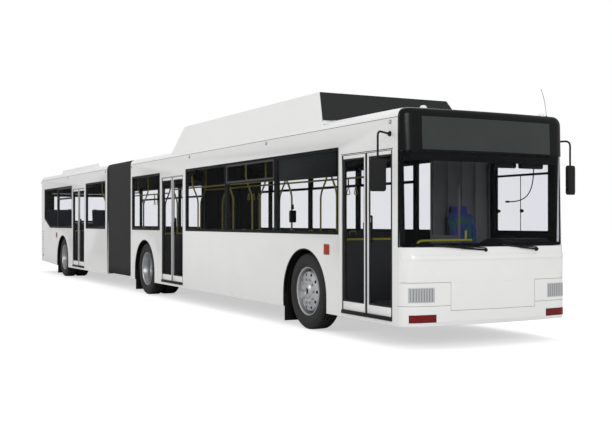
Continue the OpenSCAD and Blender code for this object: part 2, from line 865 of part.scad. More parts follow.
module twin_wheels(s, station) {
  inner_x = tyre_x - twin_pitch;
  mirror([s < 0 ? 1 : 0, 0, 0]) translate([0, st(station), axle_z]) {
    color("#2a2826") for (x = [tyre_x, inner_x]) translate([x, 0, 0]) tyre();
    color("#9a9c9e") difference() {
      union() {
        translate([tyre_x, 0, 0]) rim(-88);
        translate([inner_x, 0, 0]) rim(88);
        translate([inner_x - 100, 0, 0]) rotate([0, 90, 0])
          cylinder(h = tyre_x - inner_x + 100, r = 120);
      }
      translate([tyre_x, 0, 0]) disc_holes(-88);
      translate([inner_x, 0, 0]) disc_holes(88);
      translate([inner_x - 120, 0, 0]) rotate([0, 90, 0])
        cylinder(h = tyre_x - inner_x + 60, r = spindle_r + spindle_clear);
    }
  }
}

module middle_kerb_wheels() {
  twin_wheels(-1, axle_2);
}

module middle_driver_wheels() {
  twin_wheels(1, axle_2);
}

module rear_kerb_wheels() {
  twin_wheels(-1, axle_3);
}

module rear_driver_wheels() {
  twin_wheels(1, axle_3);
}

// Dropped axle beam with a gear housing and a spindle at each end
module portal_axle(station) {
  inner_x = tyre_x - twin_pitch;
  housing_x = inner_x - tyre_w / 2 - 6;
  color("#3b3d3f") {
    translate([-housing_x, st(station) - 110, 140]) cube([2 * housing_x, 220, 130]);
    translate([-190, st(station), 195]) rotate([0, 90, 0]) cylinder(h = 380, r = 90);
    for (s = [-1, 1]) mirror([s < 0 ? 1 : 0, 0, 0]) {
      translate([twin_box_x + box_t + 5, st(station) - 100, 140])
        cube([housing_x - twin_box_x - box_t - 5, 200, axle_z - 140 + 90]);
      translate([housing_x - 20, st(station), axle_z]) rotate([0, 90, 0])
        cylinder(h = tyre_x - housing_x - 60, r = spindle_r);
      for (y = [-260, 260]) {
        translate([430, st(station) + y, 200]) cylinder(h = floor_bottom - 200, r = 100);
        translate([430 - 60, st(station) + min(y, 0), 200]) cube([120, 260, 50]);
      }
    }
  }
}

module middle_axle() {
  portal_axle(axle_2);
}

module rear_axle() {
  portal_axle(axle_3);
}

// ---- turntable and bellows ---------------------------------------------

table_z = 250;
arm_half = 420;
plate_half = 700;
plate_back = 560;

module turntable_base() {
  color("#4a4c4e") {
    difference() {
      union() {
        translate([-arm_half, st(front_end - 500), table_z - 50])
          cube([2 * arm_half, pivot - front_end + 500, 50]);
        translate([0, st(pivot), table_z - 50]) cylinder(h = 50, r = arm_half);
        translate([-arm_half, st(front_end - 500), table_z - 50])
          cube([2 * arm_half, 430, floor_bottom - table_z + 50]);
      }
      translate([0, st(pivot), table_z - 60]) cylinder(h = 200, r = pivot_pin_r + pin_clear);
    }
    difference() {
      translate([-plate_half, st(front_end), floor_bottom + 8])
        cube([2 * plate_half, pivot - front_end - plate_back, floor_t - 8]);
      translate([0, st(pivot), 0]) cylinder(h = 1000, r = platform_r + 10);
    }
  }
}

module turntable_platform() {
  color("#56585a") {
    translate([0, st(pivot), table_z - 58]) cylinder(h = 120, r = pivot_pin_r);
    translate([0, st(pivot), table_z - 66]) cylinder(h = 14, r = pivot_pin_r + 30);
    translate([0, st(pivot), table_z + seat_gap]) cylinder(h = 60, r = arm_half);
    translate([-arm_half, st(pivot), table_z + seat_gap])
      cube([2 * arm_half, rear_start + 400 - pivot, floor_bottom - table_z - seat_gap]);
    translate([0, st(pivot), floor_bottom + 8]) cylinder(h = floor_t - 8, r = platform_r);
    difference() {
      translate([-plate_half, st(pivot + plate_back), floor_bottom + 8])
        cube([2 * plate_half, rear_start - pivot - plate_back, floor_t - 8]);
      translate([0, st(pivot), 0]) cylinder(h = 1000, r = platform_r - 5);
    }
    translate([-arm_half, st(pivot + platform_r - 60), table_z + 10])
      cube([2 * arm_half, rear_start - pivot - platform_r + 60, floor_bottom - table_z]);
  }
}

bellows_t = 60;
bellows_z = [skirt_z + 40, roof_z + 3];
bellows_half = half_w - 22;

module bellows() {
  color("#3c3c3c") translate([0, st(rear_start) - seat_gap, 0]) rotate([90, 0, 0])
    linear_extrude(bellows_len - 2 * seat_gap) difference() {
      rounded_rect([-bellows_half, bellows_z[0]], [bellows_half, bellows_z[1]], 70);
      rounded_rect(
        [-bellows_half + bellows_t, bellows_z[0] - 200],
        [bellows_half - bellows_t, bellows_z[1] - bellows_t], 50
      );
    }
}

// ---- rear section ------------------------------------------------------

rail_w = 80;

module rear_floor() {
  color("#3a3c3e") {
    difference() {
      translate([-inner_half, st(rear_start), floor_bottom])
        cube([2 * inner_half, deck_start - rear_start, floor_t]);
      for (s = [-1, 1]) box_cut(s, axle_3, twin_box_x);
    }
    // Deck over the engine, its riser, and the two rails that carry the engine
    translate([-inner_half, st(deck_start), floor_bottom]) cube([2 * inner_half, 40, deck_z - floor_bottom]);
    translate([-inner_half, st(deck_start), deck_z - 40])
      cube([2 * inner_half, bus_len - rear_depth - deck_start, 40]);
    for (s = [-1, 1])
      translate([s * (engine_half + rail_w / 2 + seat_gap) - rail_w / 2, st(deck_start), floor_bottom + 70])
        cube([rail_w, bus_len - rear_depth - 60 - deck_start, 110]);
  }
}

module rear_kerb_wall() {
  color("#e6e6e6") difference() {
    side_panel(-1, wall) difference() {
      wall_outline(rear_start, bus_len - rear_depth - seat_gap, skirt_z);
      rear_rise();
      arch_profile(axle_3, arch_r);
      doorway(door_3_start);
      pane_holes(kerb_band_3, 1);
      difference() {
        pane_holes(kerb_band_4, 2);
        tail_cut_off(kerb_band_4, -bond_w);
      }
    }
    side_panel(-1, glass_t + seat_gap + 1, -1) {
      band_profile(kerb_band_3);
      difference() {
        band_profile(kerb_band_4);
        tail_cut_off(kerb_band_4);
      }
    }
    door_bores(door_3_start);
  }
}

// The skirt rises behind the rear axle
module rear_rise() {
  polygon([
    [st(axle_3 + arch_r), skirt_z - 1], [st(bus_len), skirt_z - 1], [st(bus_len), rear_skirt_z]
  ]);
}

module rear_driver_wall() {
  color("#e6e6e6") difference() {
    side_panel(1, wall) difference() {
      wall_outline(rear_start, bus_len - rear_depth - seat_gap, skirt_z);
      rear_rise();
      arch_profile(axle_3, arch_r);
      pane_holes(driver_band_2, 4);
    }
    side_panel(1, glass_t + seat_gap + 1, -1) band_profile(driver_band_2);
  }
}

module rear_roof() {
  roof(rear_start, bus_len - rear_depth);
}

bumper_z = [rear_skirt_z, 515];
tail_lamp_x = [960, 1150];
tail_lamp_z = [640, 1160];

module tail_lamp_boxes(grow = 0) {
  for (s = [-1, 1])
    translate([s < 0 ? -tail_lamp_x[1] - grow : tail_lamp_x[0] - grow, st(bus_len) - 250, tail_lamp_z[0] - grow])
      cube([tail_lamp_x[1] - tail_lamp_x[0] + 2 * grow, 300, tail_lamp_z[1] - tail_lamp_z[0] + 2 * grow]);
}

module rear_end_panel() {
  color("#e6e6e6") {
    difference() {
      rear_shell([bumper_z[1] + shut_line, gutter_z], panel_t + 8);
      translate([-rear_window_half, st(bus_len) - 200, rear_window_z[0]])
        cube([2 * rear_window_half, 300, rear_window_z[1] - rear_window_z[0]]);
      translate([-flap_half - shut_line, st(bus_len) - 200, flap_z[0] - 200])
        cube([2 * (flap_half + shut_line), 300, flap_z[1] - flap_z[0] + 200 + seat_gap]);
      tail_lamp_boxes(2);
    }
    translate([0, st(bus_len), 0]) mirror([0, 1, 0]) end_crown(half_w, rear_bow_r, rear_corner_r, 0);
  }
}

module rear_bumper() {
  color("#e0e0e0") rear_shell([bumper_z[0], bumper_z[1]], panel_t + 8);
}

module tail_lamps() {
  color("#7a1518") intersection() {
    rear_shell([bumper_z[1] + shut_line, gutter_z], panel_t, 2);
    tail_lamp_boxes(1.6);
  }
}

module engine_flap() {
  color("#e6e6e6") intersection() {
    rear_shell([flap_z[0], flap_z[1]], flap_shell_t);
    translate([-flap_half, st(bus_len) - 200, 0]) cube([2 * flap_half, 300, 2000]);
  }
}

engine_half = 480;

module engine() {
  color("#5a5c5e")
    translate([-engine_half, st(deck_start + 150), floor_bottom + 20])
      cube([2 * engine_half, bus_len - deck_start - 520, deck_z - 100 - floor_bottom]);
}

module rear_glass() {
  color("#4d5558", 0.5) {
    side_panel(-1, glass_t) {
      pane_set(kerb_band_3, 1);
      difference() {
        pane_set(kerb_band_4, 2);
        tail_cut_off(kerb_band_4, -3);
      }
    }
    side_panel(1, glass_t) pane_set(driver_band_2, 4);
    intersection() {
      rear_shell([rear_window_z[0] + 3, rear_window_z[1] - 3], glass_t, 3);
      translate([-rear_window_half + seat_gap, st(bus_len) - 200, 0])
        cube([2 * (rear_window_half - seat_gap), 300, 3000]);
    }
  }
}

module rear_roof_unit() {
  a = rear_start + 2160;
  b = bus_len - 960;
  color("#ededed") rotate([90, 0, 90]) translate([0, 0, -820]) linear_extrude(1640)
    difference() {
      polygon([[st(a), roof_z], [st(a + 160), roof_z + 180], [st(b - 160), roof_z + 180], [st(b), roof_z]]);
      polygon([
        [st(a + 40), roof_z - 1], [st(a + 180), roof_z + 155],
        [st(b - 180), roof_z + 155], [st(b - 40), roof_z - 1]
      ]);
    }
}

// ---- doors -------------------------------------------------------------

stile = 44;
top_rail = 44;
bottom_rail = 108;
leaf_z = [floor_z + 12, door_top_z - leaf_gap];
leaf_w = door_w / 2 - 2 * leaf_gap;

// Leaf with its outer edge at y = 0 and its other edge at y = leaf_w
module leaf_frame() {
  h = leaf_z[1] - leaf_z[0];
  difference() {
    cube([leaf_t, leaf_w, h]);
    translate([-1, stile + 10, bottom_rail + 10])
      cube([leaf_t + 2, leaf_w - 2 * stile - 20, h - top_rail - bottom_rail - 20]);
    translate([-1, stile, bottom_rail])
      cube([glass_t + seat_gap + 1, leaf_w - 2 * stile, h - top_rail - bottom_rail]);
  }
  translate([0, stile + 1, bottom_rail + 1])
    cube([glass_t, leaf_w - 2 * stile - 2, h - top_rail - bottom_rail - 2]);
  // Hinge tube on the inner face, with a pin at each end
  translate([leaf_t + 10, hinge_in - leaf_gap, 0]) {
    cylinder(h = h, r = 14);
    translate([0, 0, -32]) cylinder(h = h + 32 + 26, r = pin_r);
  }
  // Handle on the inner face beside the meeting edge
  for (z = [900, 1180]) translate([leaf_t - 1, leaf_w - 36, z]) cube([36, 14, 14]);
  translate([leaf_t + 27, leaf_w - 29, 880]) cylinder(h = 334, r = 12);
}

module leaf(start, rear) {
  color("#e4e4e4") translate([-half_w + leaf_face, st(start), leaf_z[0]])
    if (rear) translate([0, door_w - leaf_gap, 0]) mirror([0, 1, 0]) leaf_frame();
    else translate([0, leaf_gap, 0]) leaf_frame();
}

module door_1_front_leaf() {
  leaf(door_1_start, false);
}

module door_1_rear_leaf() {
  leaf(door_1_start, true);
}

module door_2_front_leaf() {
  leaf(door_2_start, false);
}

module door_2_rear_leaf() {
  leaf(door_2_start, true);
}

module door_3_front_leaf() {
  leaf(door_3_start, false);
}

module door_3_rear_leaf() {
  leaf(door_3_start, true);
}

// ---- assembly ----------------------------------------------------------

front_floor();
front_kerb_wall();
front_driver_wall();
front_roof();
front_mask();
front_header();
windscreen();
front_bumper();
front_hatch();
headlights();
wipers();
mirrors();
roof_tank_cover();
front_side_glass();
dashboard();
steering_wheel();
driver_seat();
driver_partition();
front_passenger_seats();
front_handrails();
front_wheel_boxes();
front_axle();
kerb_knuckle();
driver_knuckle();
front_kerb_wheel();
front_driver_wheel();
middle_axle();
middle_kerb_wheels();
middle_driver_wheels();
turntable_base();
bellows();
turntable_platform();
rear_floor();
rear_kerb_wall();
rear_driver_wall();
rear_roof();
rear_end_panel();
rear_glass();
rear_bumper();
tail_lamps();
engine();
engine_flap();
rear_axle();
rear_kerb_wheels();
rear_driver_wheels();
rear_roof_unit();
rear_passenger_seats();
rear_handrails();
rear_wheel_boxes();
door_1_front_leaf();
door_1_rear_leaf();
door_2_front_leaf();
door_2_rear_leaf();
door_3_front_leaf();
door_3_rear_leaf();
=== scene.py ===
"""Articulated low-floor city bus: finishes, glazing, cabin and a plain studio around its frame.

Lengths are metres in the frame's own axes: +Z up, -Y the way the bus drives, -X the kerb side.
"""

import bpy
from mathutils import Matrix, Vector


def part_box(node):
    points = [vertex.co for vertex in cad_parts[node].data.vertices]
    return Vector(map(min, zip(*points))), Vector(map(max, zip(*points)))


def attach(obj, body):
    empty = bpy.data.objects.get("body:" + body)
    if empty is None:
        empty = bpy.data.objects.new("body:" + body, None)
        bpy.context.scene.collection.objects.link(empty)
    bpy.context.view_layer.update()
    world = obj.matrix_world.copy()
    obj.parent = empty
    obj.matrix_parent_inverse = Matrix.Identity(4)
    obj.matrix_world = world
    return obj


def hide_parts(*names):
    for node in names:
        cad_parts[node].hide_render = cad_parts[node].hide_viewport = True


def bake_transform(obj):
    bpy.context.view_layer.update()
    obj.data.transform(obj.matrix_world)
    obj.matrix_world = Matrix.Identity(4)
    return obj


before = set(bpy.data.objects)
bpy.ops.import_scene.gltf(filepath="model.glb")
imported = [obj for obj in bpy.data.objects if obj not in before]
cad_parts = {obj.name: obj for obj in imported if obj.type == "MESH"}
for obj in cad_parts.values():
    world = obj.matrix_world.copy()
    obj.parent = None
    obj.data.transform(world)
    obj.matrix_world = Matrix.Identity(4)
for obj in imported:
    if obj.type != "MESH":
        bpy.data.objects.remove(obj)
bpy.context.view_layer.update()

import math

import bmesh
import bpy
from bpy.props import FloatProperty, FloatVectorProperty, IntProperty, PointerProperty
from bpy.types import Operator, Panel, PropertyGroup
from mathutils import Matrix, Vector
from mathutils.bvhtree import BVHTree

bl_info = {
    "name": "Articulated city bus",
    "version": (1, 0, 0),
    "blender": (4, 5, 0),
    "location": "View3D > Sidebar > City Bus",
    "description": "Finishes, glazing, cabin and studio of a low-floor articulated bus",
    "category": "Object",
}

MM = 0.001

# Name stem and body of the two halves of the bus
SECTIONS = (("front", "front_section"), ("rear", "rear_section"))

# Planes that the frame fixes
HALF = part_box("front_driver_wall")[1].x
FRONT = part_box("front_bumper")[0].y
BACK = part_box("rear_bumper")[1].y
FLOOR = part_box("turntable_platform")[1].z
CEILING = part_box("front_handrails")[1].z
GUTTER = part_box("front_kerb_wall")[1].z
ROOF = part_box("front_roof")[1].z
INNER = HALF - 0.060
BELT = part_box("windscreen")[0].z
SCREEN_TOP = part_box("windscreen")[1].z
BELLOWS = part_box("bellows")
AXLES = [sum(corner.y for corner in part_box(name)) / 2
         for name in ("front_kerb_wheel", "middle_kerb_wheels", "rear_kerb_wheels")]


def linear(code):
    """Linear red, green and blue of an sRGB hex colour."""
    parts = [int(code[i : i + 2], 16) / 255 for i in (1, 3, 5)]
    return tuple(c / 12.92 if c <= 0.04045 else ((c + 0.055) / 1.055) ** 2.4 for c in parts)


# ---- settings --------------------------------------------------------------


class BusSizes(PropertyGroup):
    """Sizes of the finished pieces that a user may change."""

    frit: FloatProperty(
        name="Black window edge", description="Width of the black enamel round each pane",
        default=0.046, min=0.02, max=0.08, unit="LENGTH", subtype="DISTANCE")
    hopper: FloatProperty(
        name="Hopper height", description="Height of the tilting window above its transom",
        default=0.33, min=0.2, max=0.5, unit="LENGTH", subtype="DISTANCE")
    pleats: IntProperty(
        name="Bellows folds", description="Folds of the bellows from frame to frame",
        default=34, min=12, max=60)
    pleat_depth: FloatProperty(
        name="Fold depth", description="Depth of each fold of the bellows",
        default=0.034, min=0.01, max=0.06, unit="LENGTH", subtype="DISTANCE")
    tread_blocks: IntProperty(
        name="Tread blocks", description="Shoulder blocks round a tyre", default=56, min=30, max=90)
    rail: FloatProperty(
        name="Rail radius", description="Radius of the handrail tube",
        default=0.016, min=0.010, max=0.025, unit="LENGTH", subtype="DISTANCE")


class BusColours(PropertyGroup):
    """Colours of the main finishes."""

    paint: FloatVectorProperty(
        name="Body paint", description="Colour of the painted panels",
        default=linear("#e9e9e8"), size=3, min=0, max=1, subtype="COLOR")
    rail: FloatVectorProperty(
        name="Handrails", description="Powder coat of the handrails",
        default=linear("#a8a02c"), size=3, min=0, max=1, subtype="COLOR")
    bellows: FloatVectorProperty(
        name="Bellows", description="Coated cloth of the bellows",
        default=linear("#2b2b2c"), size=3, min=0, max=1, subtype="COLOR")
    seat: FloatVectorProperty(
        name="Seat cloth", description="Woven cover of the passenger seats",
        default=linear("#2b3144"), size=3, min=0, max=1, subtype="COLOR")


class StudioSettings(PropertyGroup):
    """Camera and light of the studio."""

    eye: FloatVectorProperty(
        name="Camera place", description="Where the camera stands",
        default=(-7.290, -18.942, 1.506), size=3, subtype="TRANSLATION", unit="LENGTH")
    yaw: FloatProperty(
        name="Camera turn", description="Turn of the camera about the vertical",
        default=math.radians(-27.753), subtype="ANGLE", unit="ROTATION")
    tilt: FloatProperty(
        name="Camera tilt", description="Tilt of the camera from straight down",
        default=math.radians(90.222), subtype="ANGLE", unit="ROTATION")
    lens: FloatProperty(
        name="Lens", description="Focal length of the camera", default=54.59, min=20, max=200)
    sky: FloatProperty(
        name="Sky", description="Brightness of the light from all round", default=0.62, min=0, max=3)


def sizes():
    return bpy.context.scene.bus_sizes


def colours():
    return bpy.context.scene.bus_colours


# ---- finishes --------------------------------------------------------------


def node(tree, kind, inputs=None, **settings):
    """Add a shader node, give it its settings, and set or link its inputs."""
    made = tree.nodes.new(kind)
    for name, value in settings.items():
        setattr(made, name, value)
    for name, value in (inputs or {}).items():
        if isinstance(value, bpy.types.NodeSocket):
            tree.links.new(value, made.inputs[name])
        else:
            made.inputs[name].default_value = value
    return made


def ramp(tree, factor, low, high, start=0.3, end=0.7):
    """Colour that runs from low to high as the factor runs from start to end."""
    made = node(tree, "ShaderNodeValToRGB", {"Fac": factor})
    stops = made.color_ramp.elements
    stops[0].position, stops[0].color = start, (*low, 1)
    stops[1].position, stops[1].color = end, (*high, 1)
    return made.outputs["Color"]


def shade(colour, by):
    return tuple(min(1.0, c * by) for c in colour)


def surface(name, colour, rough, grain_mm, second=None, bump_mm=0.0, wobble=0.05,
            kind="ShaderNodeTexNoise", pattern=None, stretch=(1, 1, 1), start=0.3, end=0.7,
            sockets=None):
    """A Principled finish whose colour, roughness and relief follow one pattern of real size."""
    made = bpy.data.materials.get(name)
    if made:
        return made
    made = bpy.data.materials.new(name)
    made.use_nodes = True
    tree = made.node_tree
    shader = tree.nodes["Principled BSDF"]
    for socket, value in (sockets or {}).items():
        shader.inputs[socket].default_value = value
    place = node(tree, "ShaderNodeTexCoord")
    laid = node(tree, "ShaderNodeMapping", {"Vector": place.outputs["Object"], "Scale": stretch})
    grain = node(tree, kind, {"Vector": laid.outputs["Vector"], "Scale": 1000 / grain_mm},
                 **(pattern or {}))
    factor = grain.outputs["Fac"] if "Fac" in grain.outputs else grain.outputs[0]
    second = second or shade(colour, 0.93)
    tree.links.new(ramp(tree, factor, second, colour, start, end), shader.inputs["Base Color"])
    rough_map = node(tree, "ShaderNodeMapRange", {
        "Value": factor, "To Min": max(0.0, rough - wobble), "To Max": min(1.0, rough + wobble)})
    tree.links.new(rough_map.outputs["Result"], shader.inputs["Roughness"])
    if bump_mm:
        relief = node(tree, "ShaderNodeBump", {
            "Height": factor, "Strength": 1.0, "Distance": bump_mm * MM})
        tree.links.new(relief.outputs["Normal"], shader.inputs["Normal"])
    return made


def body_paint():
    """White two-pack acrylic enamel, sprayed: an even white with a clear gloss and faint ripple."""
    return surface("White acrylic enamel", tuple(colours().paint), 0.30, 420, bump_mm=0.02,
                   second=shade(tuple(colours().paint), 0.975), wobble=0.04,
                   sockets={"Coat Weight": 0.35, "Coat Roughness": 0.08})


def roof_paint():
    """Gel-coated glass fibre: a softer white than the sides, slightly wavy."""
    return surface("White gel coat", linear("#f4f4f3"), 0.38, 900, linear("#f2f2f1"),
                   bump_mm=0.03, sockets={"Coat Weight": 0.2, "Coat Roughness": 0.15})


def black_gloss():
    """Black enamel on moulded plastic: near black with long soft reflections."""
    return surface("Black gloss enamel", linear("#101112"), 0.24, 300, linear("#0d0e0f"),
                   wobble=0.03, sockets={"Specular IOR Level": 0.15})


def black_plastic():
    """Grained polypropylene: matt black whose 1.5 mm grain breaks up the highlights."""
    return surface("Grained polypropylene", linear("#141516"), 0.6, 1.5, linear("#0f1011"),
                   bump_mm=0.08, sockets={"Specular IOR Level": 0.2})


def grey_plastic():
    """Moulded ABS, mid dark grey: cabin panels with a fine satin grain."""
    return surface("Grey moulded ABS", linear("#2f3032"), 0.55, 2.0, linear("#28292b"), bump_mm=0.05)


def partition_laminate():
    """Grey compact laminate: the driver's partition, a shade lighter than the cabin walls."""
    return surface("Grey compact laminate", linear("#646566"), 0.6, 12, linear("#5b5c5d"), bump_mm=0.03)


def lining():
    """Textile-faced laminate for the cabin walls, with a soft mottle about 8 mm wide; its near-black colour
    is painted shade of the dim cabin.
    """
    return surface("Wall laminate in painted shade", linear("#181919"), 0.75, 8, linear("#131414"),
                   bump_mm=0.04, sockets={"Specular IOR Level": 0.2})


def ceiling_lining():
    """Perforated ceiling board with holes on a 12 mm pitch; its dark grey is painted shade of the dim cabin.
    """
    return surface("Perforated ceiling board", linear("#28292a"), 0.7, 12, linear("#1a1b1c"),
                   kind="ShaderNodeTexVoronoi", start=0.1, end=0.35, bump_mm=0.1)


def window_glass():
    """Grey-tinted toughened glass, floated: clear view through, thin mirror gloss on top."""
    name = "Grey tinted float glass"
    made = bpy.data.materials.get(name)
    if made:
        return made
    made = bpy.data.materials.new(name)
    made.use_nodes = True
    tree = made.node_tree
    shader = tree.nodes["Principled BSDF"]
    shader.inputs["Base Color"].default_value = (0.02, 0.022, 0.026, 1)
    place = node(tree, "ShaderNodeTexCoord")
    # Rolling leaves a very slow change of thickness, about 0.9 m from wave to wave
    drift = node(tree, "ShaderNodeTexNoise", {"Vector": place.outputs["Object"], "Scale": 1 / 0.9})
    tint = ramp(tree, drift.outputs[0], (0.947, 0.950, 0.963), (0.958, 0.961, 0.972))
    clear = node(tree, "ShaderNodeBsdfTransparent", {"Color": tint})
    haze = node(tree, "ShaderNodeMapRange", {
        "Value": drift.outputs[0], "To Min": 0.01, "To Max": 0.03})
    tree.links.new(haze.outputs["Result"], shader.inputs["Roughness"])
    share = node(tree, "ShaderNodeMixShader", {"Fac": 0.03, 1: clear.outputs[0], 2: shader.outputs[0]})
    tree.links.new(share.outputs[0], tree.nodes["Material Output"].inputs["Surface"])
    return made


def frit():
    """Ceramic enamel baked on glass: flat black with a soft sheen."""
    return surface("Black ceramic frit", linear("#0f1011"), 0.45, 3, linear("#0b0c0d"),
                   sockets={"Specular IOR Level": 0.08})


def display_panel():
    """Tinted acrylic over an unlit sign: a cold grey-green that reads lighter than its frame."""
    return surface("Smoked acrylic sign cover", linear("#373b3a"), 0.32, 600, linear("#333736"),
                   wobble=0.05, sockets={"Specular IOR Level": 0.2})


def side_display():
    """Smoked acrylic in the side window: darker and greener than the one at the front."""
    return surface("Smoked acrylic side sign", linear("#151a19"), 0.4, 300, linear("#121716"),
                   sockets={"Specular IOR Level": 0.06})


def rubber():
    """EPDM rubber extrusion: soft black seals with a dull bloom."""
    return surface("Extruded door rubber", linear("#151515"), 0.7, 4, linear("#1d1d1d"),
                   bump_mm=0.05)


def tyre_rubber():
    """Vulcanised carbon-black rubber: brownish black, dusty, with fine mould lines."""
    return surface("Vulcanised tyre rubber", linear("#201e1d"), 0.78, 6, linear("#1a1817"),
                   bump_mm=0.25)


def wheel_enamel():
    """Silver enamel on pressed steel: pale metallic flake with a soft gleam."""
    return surface("Silver wheel enamel", linear("#c2c3c5"), 0.34, 1.2, linear("#a9abad"),
                   bump_mm=0.01, sockets={"Metallic": 0.8})


def forged_steel():
    """Forged steel with baked road dust: dark, rough, slightly brown."""
    return surface("Dusty forged steel", linear("#2b2a29"), 0.65, 14, linear("#211f1e"),
                   bump_mm=0.3, sockets={"Metallic": 0.35})



def checker_plate():
    """Rolled aluminium tread plate: raised bars on a 28 mm pitch that catch the light."""
    return surface("Aluminium tread plate", linear("#8b8d8f"), 0.42, 28, linear("#5f6163"),
                   kind="ShaderNodeTexVoronoi", bump_mm=1.0, start=0.15, end=0.4,
                   sockets={"Metallic": 0.8})


def floor_vinyl():
    """Safety vinyl: charcoal sheet with pale grit specks, drawn 5 mm wide so that they show."""
    return surface("Safety vinyl floor", linear("#232426"), 0.65, 5, linear("#3b3c3e"),
                   start=0.30, end=0.42, bump_mm=0.15)


def powder_coat():
    """Olive-yellow powder coat on steel tube: even colour with a fine orange peel."""
    return surface("Yellow powder coat", tuple(colours().rail), 0.38, 3,
                   second=shade(tuple(colours().rail), 0.85), bump_mm=0.04,
                   sockets={"Coat Weight": 0.2})


def seat_cloth():
    """Woven moquette: blue-grey pile in fine ribs about 3 mm apart."""
    return surface("Moquette seat cloth", tuple(colours().seat), 0.9, 9,
                   second=linear("#20242f"), kind="ShaderNodeTexWave", bump_mm=0.6,
                   pattern={"wave_profile": "TRI"}, start=0.2, end=0.8,
                   sockets={"Sheen Weight": 0.3, "Sheen Roughness": 0.5})


def driver_cloth():
    """Driver's seat velour: deep blue with soft green areas about 120 mm wide."""
    return surface("Blue and green velour", linear("#2b3377"), 0.88, 120, linear("#1f5348"),
                   start=0.40, end=0.52, bump_mm=0.3,
                   sockets={"Sheen Weight": 0.35, "Sheen Roughness": 0.45})


def bellows_cloth():
    """Woven polyester coated on both sides: dull charcoal with a 2 mm thread relief."""
    return surface("Coated bellows cloth", tuple(colours().bellows), 0.72, 6,
                   second=shade(tuple(colours().bellows), 0.88), kind="ShaderNodeTexWave",
                   pattern={"bands_direction": "Z"}, bump_mm=0.12)


def aluminium():
    """Anodised aluminium extrusion: satin grey with faint drawn lines."""
    return surface("Anodised aluminium", linear("#8f9193"), 0.4, 2, linear("#818385"),
                   stretch=(1, 0.05, 1), sockets={"Metallic": 0.9})


def lamp_lens():
    """Ribbed polycarbonate lens over a reflector: pale grey flutes about 35 mm apart, raised by bump relief,
    with painted shade and painted highlight in dark and light bands across them.
    """
    return surface("Fluted lamp lens", linear("#b9babb"), 0.22, 110, linear("#7f8183"),
                   kind="ShaderNodeTexWave", pattern={"bands_direction": "X"}, bump_mm=0.8,
                   start=0.1, end=0.9, sockets={"Coat Weight": 0.5, "Coat Roughness": 0.05})


def lamp_rim():
    """Pale grey moulded frame round a headlamp: satin, a step darker than the body."""
    return surface("Pale grey lamp frame", linear("#bfc1c2"), 0.45, 6, linear("#b4b6b7"))


def lamp_bowl():
    """Metallised reflector bowl: bright and mirror smooth."""
    return surface("Metallised reflector", linear("#d9dadb"), 0.15, 10, linear("#c4c6c8"),
                   sockets={"Metallic": 1.0})


def red_lens():
    """Red acrylic prisms: deep red with a 9 mm sparkle."""
    return surface("Red acrylic prisms", linear("#7c1210"), 0.34, 9, linear("#5a0b0a"),
                   kind="ShaderNodeTexVoronoi", bump_mm=0.3, sockets={"Specular IOR Level": 0.2})


def amber_lens():
    """Orange acrylic reflector: warm orange-red with a 9 mm sparkle."""
    return surface("Orange acrylic prisms", linear("#b23208"), 0.34, 9, linear("#8f2806"),
                   kind="ShaderNodeTexVoronoi", bump_mm=0.3, sockets={"Specular IOR Level": 0.15})


def mirror_glass():
    """Silvered glass: a clean dark mirror."""
    return surface("Silvered mirror glass", linear("#c9ccce"), 0.03, 500, linear("#c3c6c9"),
                   wobble=0.01, sockets={"Metallic": 1.0})


def light_diffuser():
    """Opal polycarbonate: milky white light covers, unlit."""
    return surface("Opal diffuser", linear("#c9cbc8"), 0.45, 30, linear("#bfc1be"))


# ---- shape tools -----------------------------------------------------------


def rounded(points, r, steps=4):
    """Outline whose corners are replaced by arcs of radius r."""
    out = []
    n = len(points)
    for i in range(n):
        a, b, c = (Vector(points[(i + k - 1) % n]) for k in range(3))
        before, after = (a - b).normalized(), (c - b).normalized()
        half = before.angle(after) / 2
        reach = min(r / math.tan(half), (a - b).length * 0.49, (c - b).length * 0.49)
        start, end = b + before * reach, b + after * reach
        centre = b + (before + after).normalized() * (reach / math.cos(half))
        for k in range(steps + 1):
            p = start.lerp(end, k / steps) - centre
            out.append(tuple(centre + p.normalized() * (start - centre).length))
    return out


def inset(points, d):
    """Convex outline, counter-clockwise, moved inwards by d."""
    n = len(points)
    lines = []
    for i in range(n):
        a, b = Vector(points[i]), Vector(points[(i + 1) % n])
        along = (b - a).normalized()
        lines.append((a + Vector((-along.y, along.x)) * d, along))
    out = []
    for i in range(n):
        (p, u), (q, v) = lines[i - 1], lines[i]
        t = (q - p).cross(v) / u.cross(v)
        out.append(tuple(p + u * t))
    return out


def hull_outline(points):
    """Counter-clockwise convex outline of flat points, without nearly straight corners."""
    def chain(row):
        out = []
        for p in row:
            while len(out) > 1:
                last = Vector(out[-1])
                if (last - Vector(out[-2])).cross(Vector(p) - last) >= 1e-6:
                    break
                out.pop()
            out.append(p)
        return out[:-1]
    row = sorted(set((round(a, 4), round(b, 4)) for a, b in points))
    return chain(row) + chain(row[::-1])


def rect(a, b):
    return [(a[0], a[1]), (b[0], a[1]), (b[0], b[1]), (a[0], b[1])]


def smooth_path(points, r, steps=5):
    """Path whose inner corners are rounded, for bent tube."""
    out = [Vector(points[0])]
    for a, b, c in zip(points, points[1:], points[2:]):
        a, b, c = Vector(a), Vector(b), Vector(c)
        reach = min(r, (a - b).length * 0.45, (c - b).length * 0.45)
        start, end = b + (a - b).normalized() * reach, b + (c - b).normalized() * reach
        for k in range(steps + 1):
            t = k / steps
            out.append(start * (1 - t) ** 2 + b * (2 * t * (1 - t)) + end * t ** 2)
    return out + [Vector(points[-1])]


def circle(n):
    """Cosine and sine of n even steps round a circle."""
    return [(math.cos(2 * math.pi * i / n), math.sin(2 * math.pi * i / n)) for i in range(n)]

# How a flat point and a place along an axis make a point in space
ALONG = {"X": lambda p, w: (w, *p), "Y": lambda p, w: (p[0], w, p[1]), "Z": lambda p, w: (*p, w)}

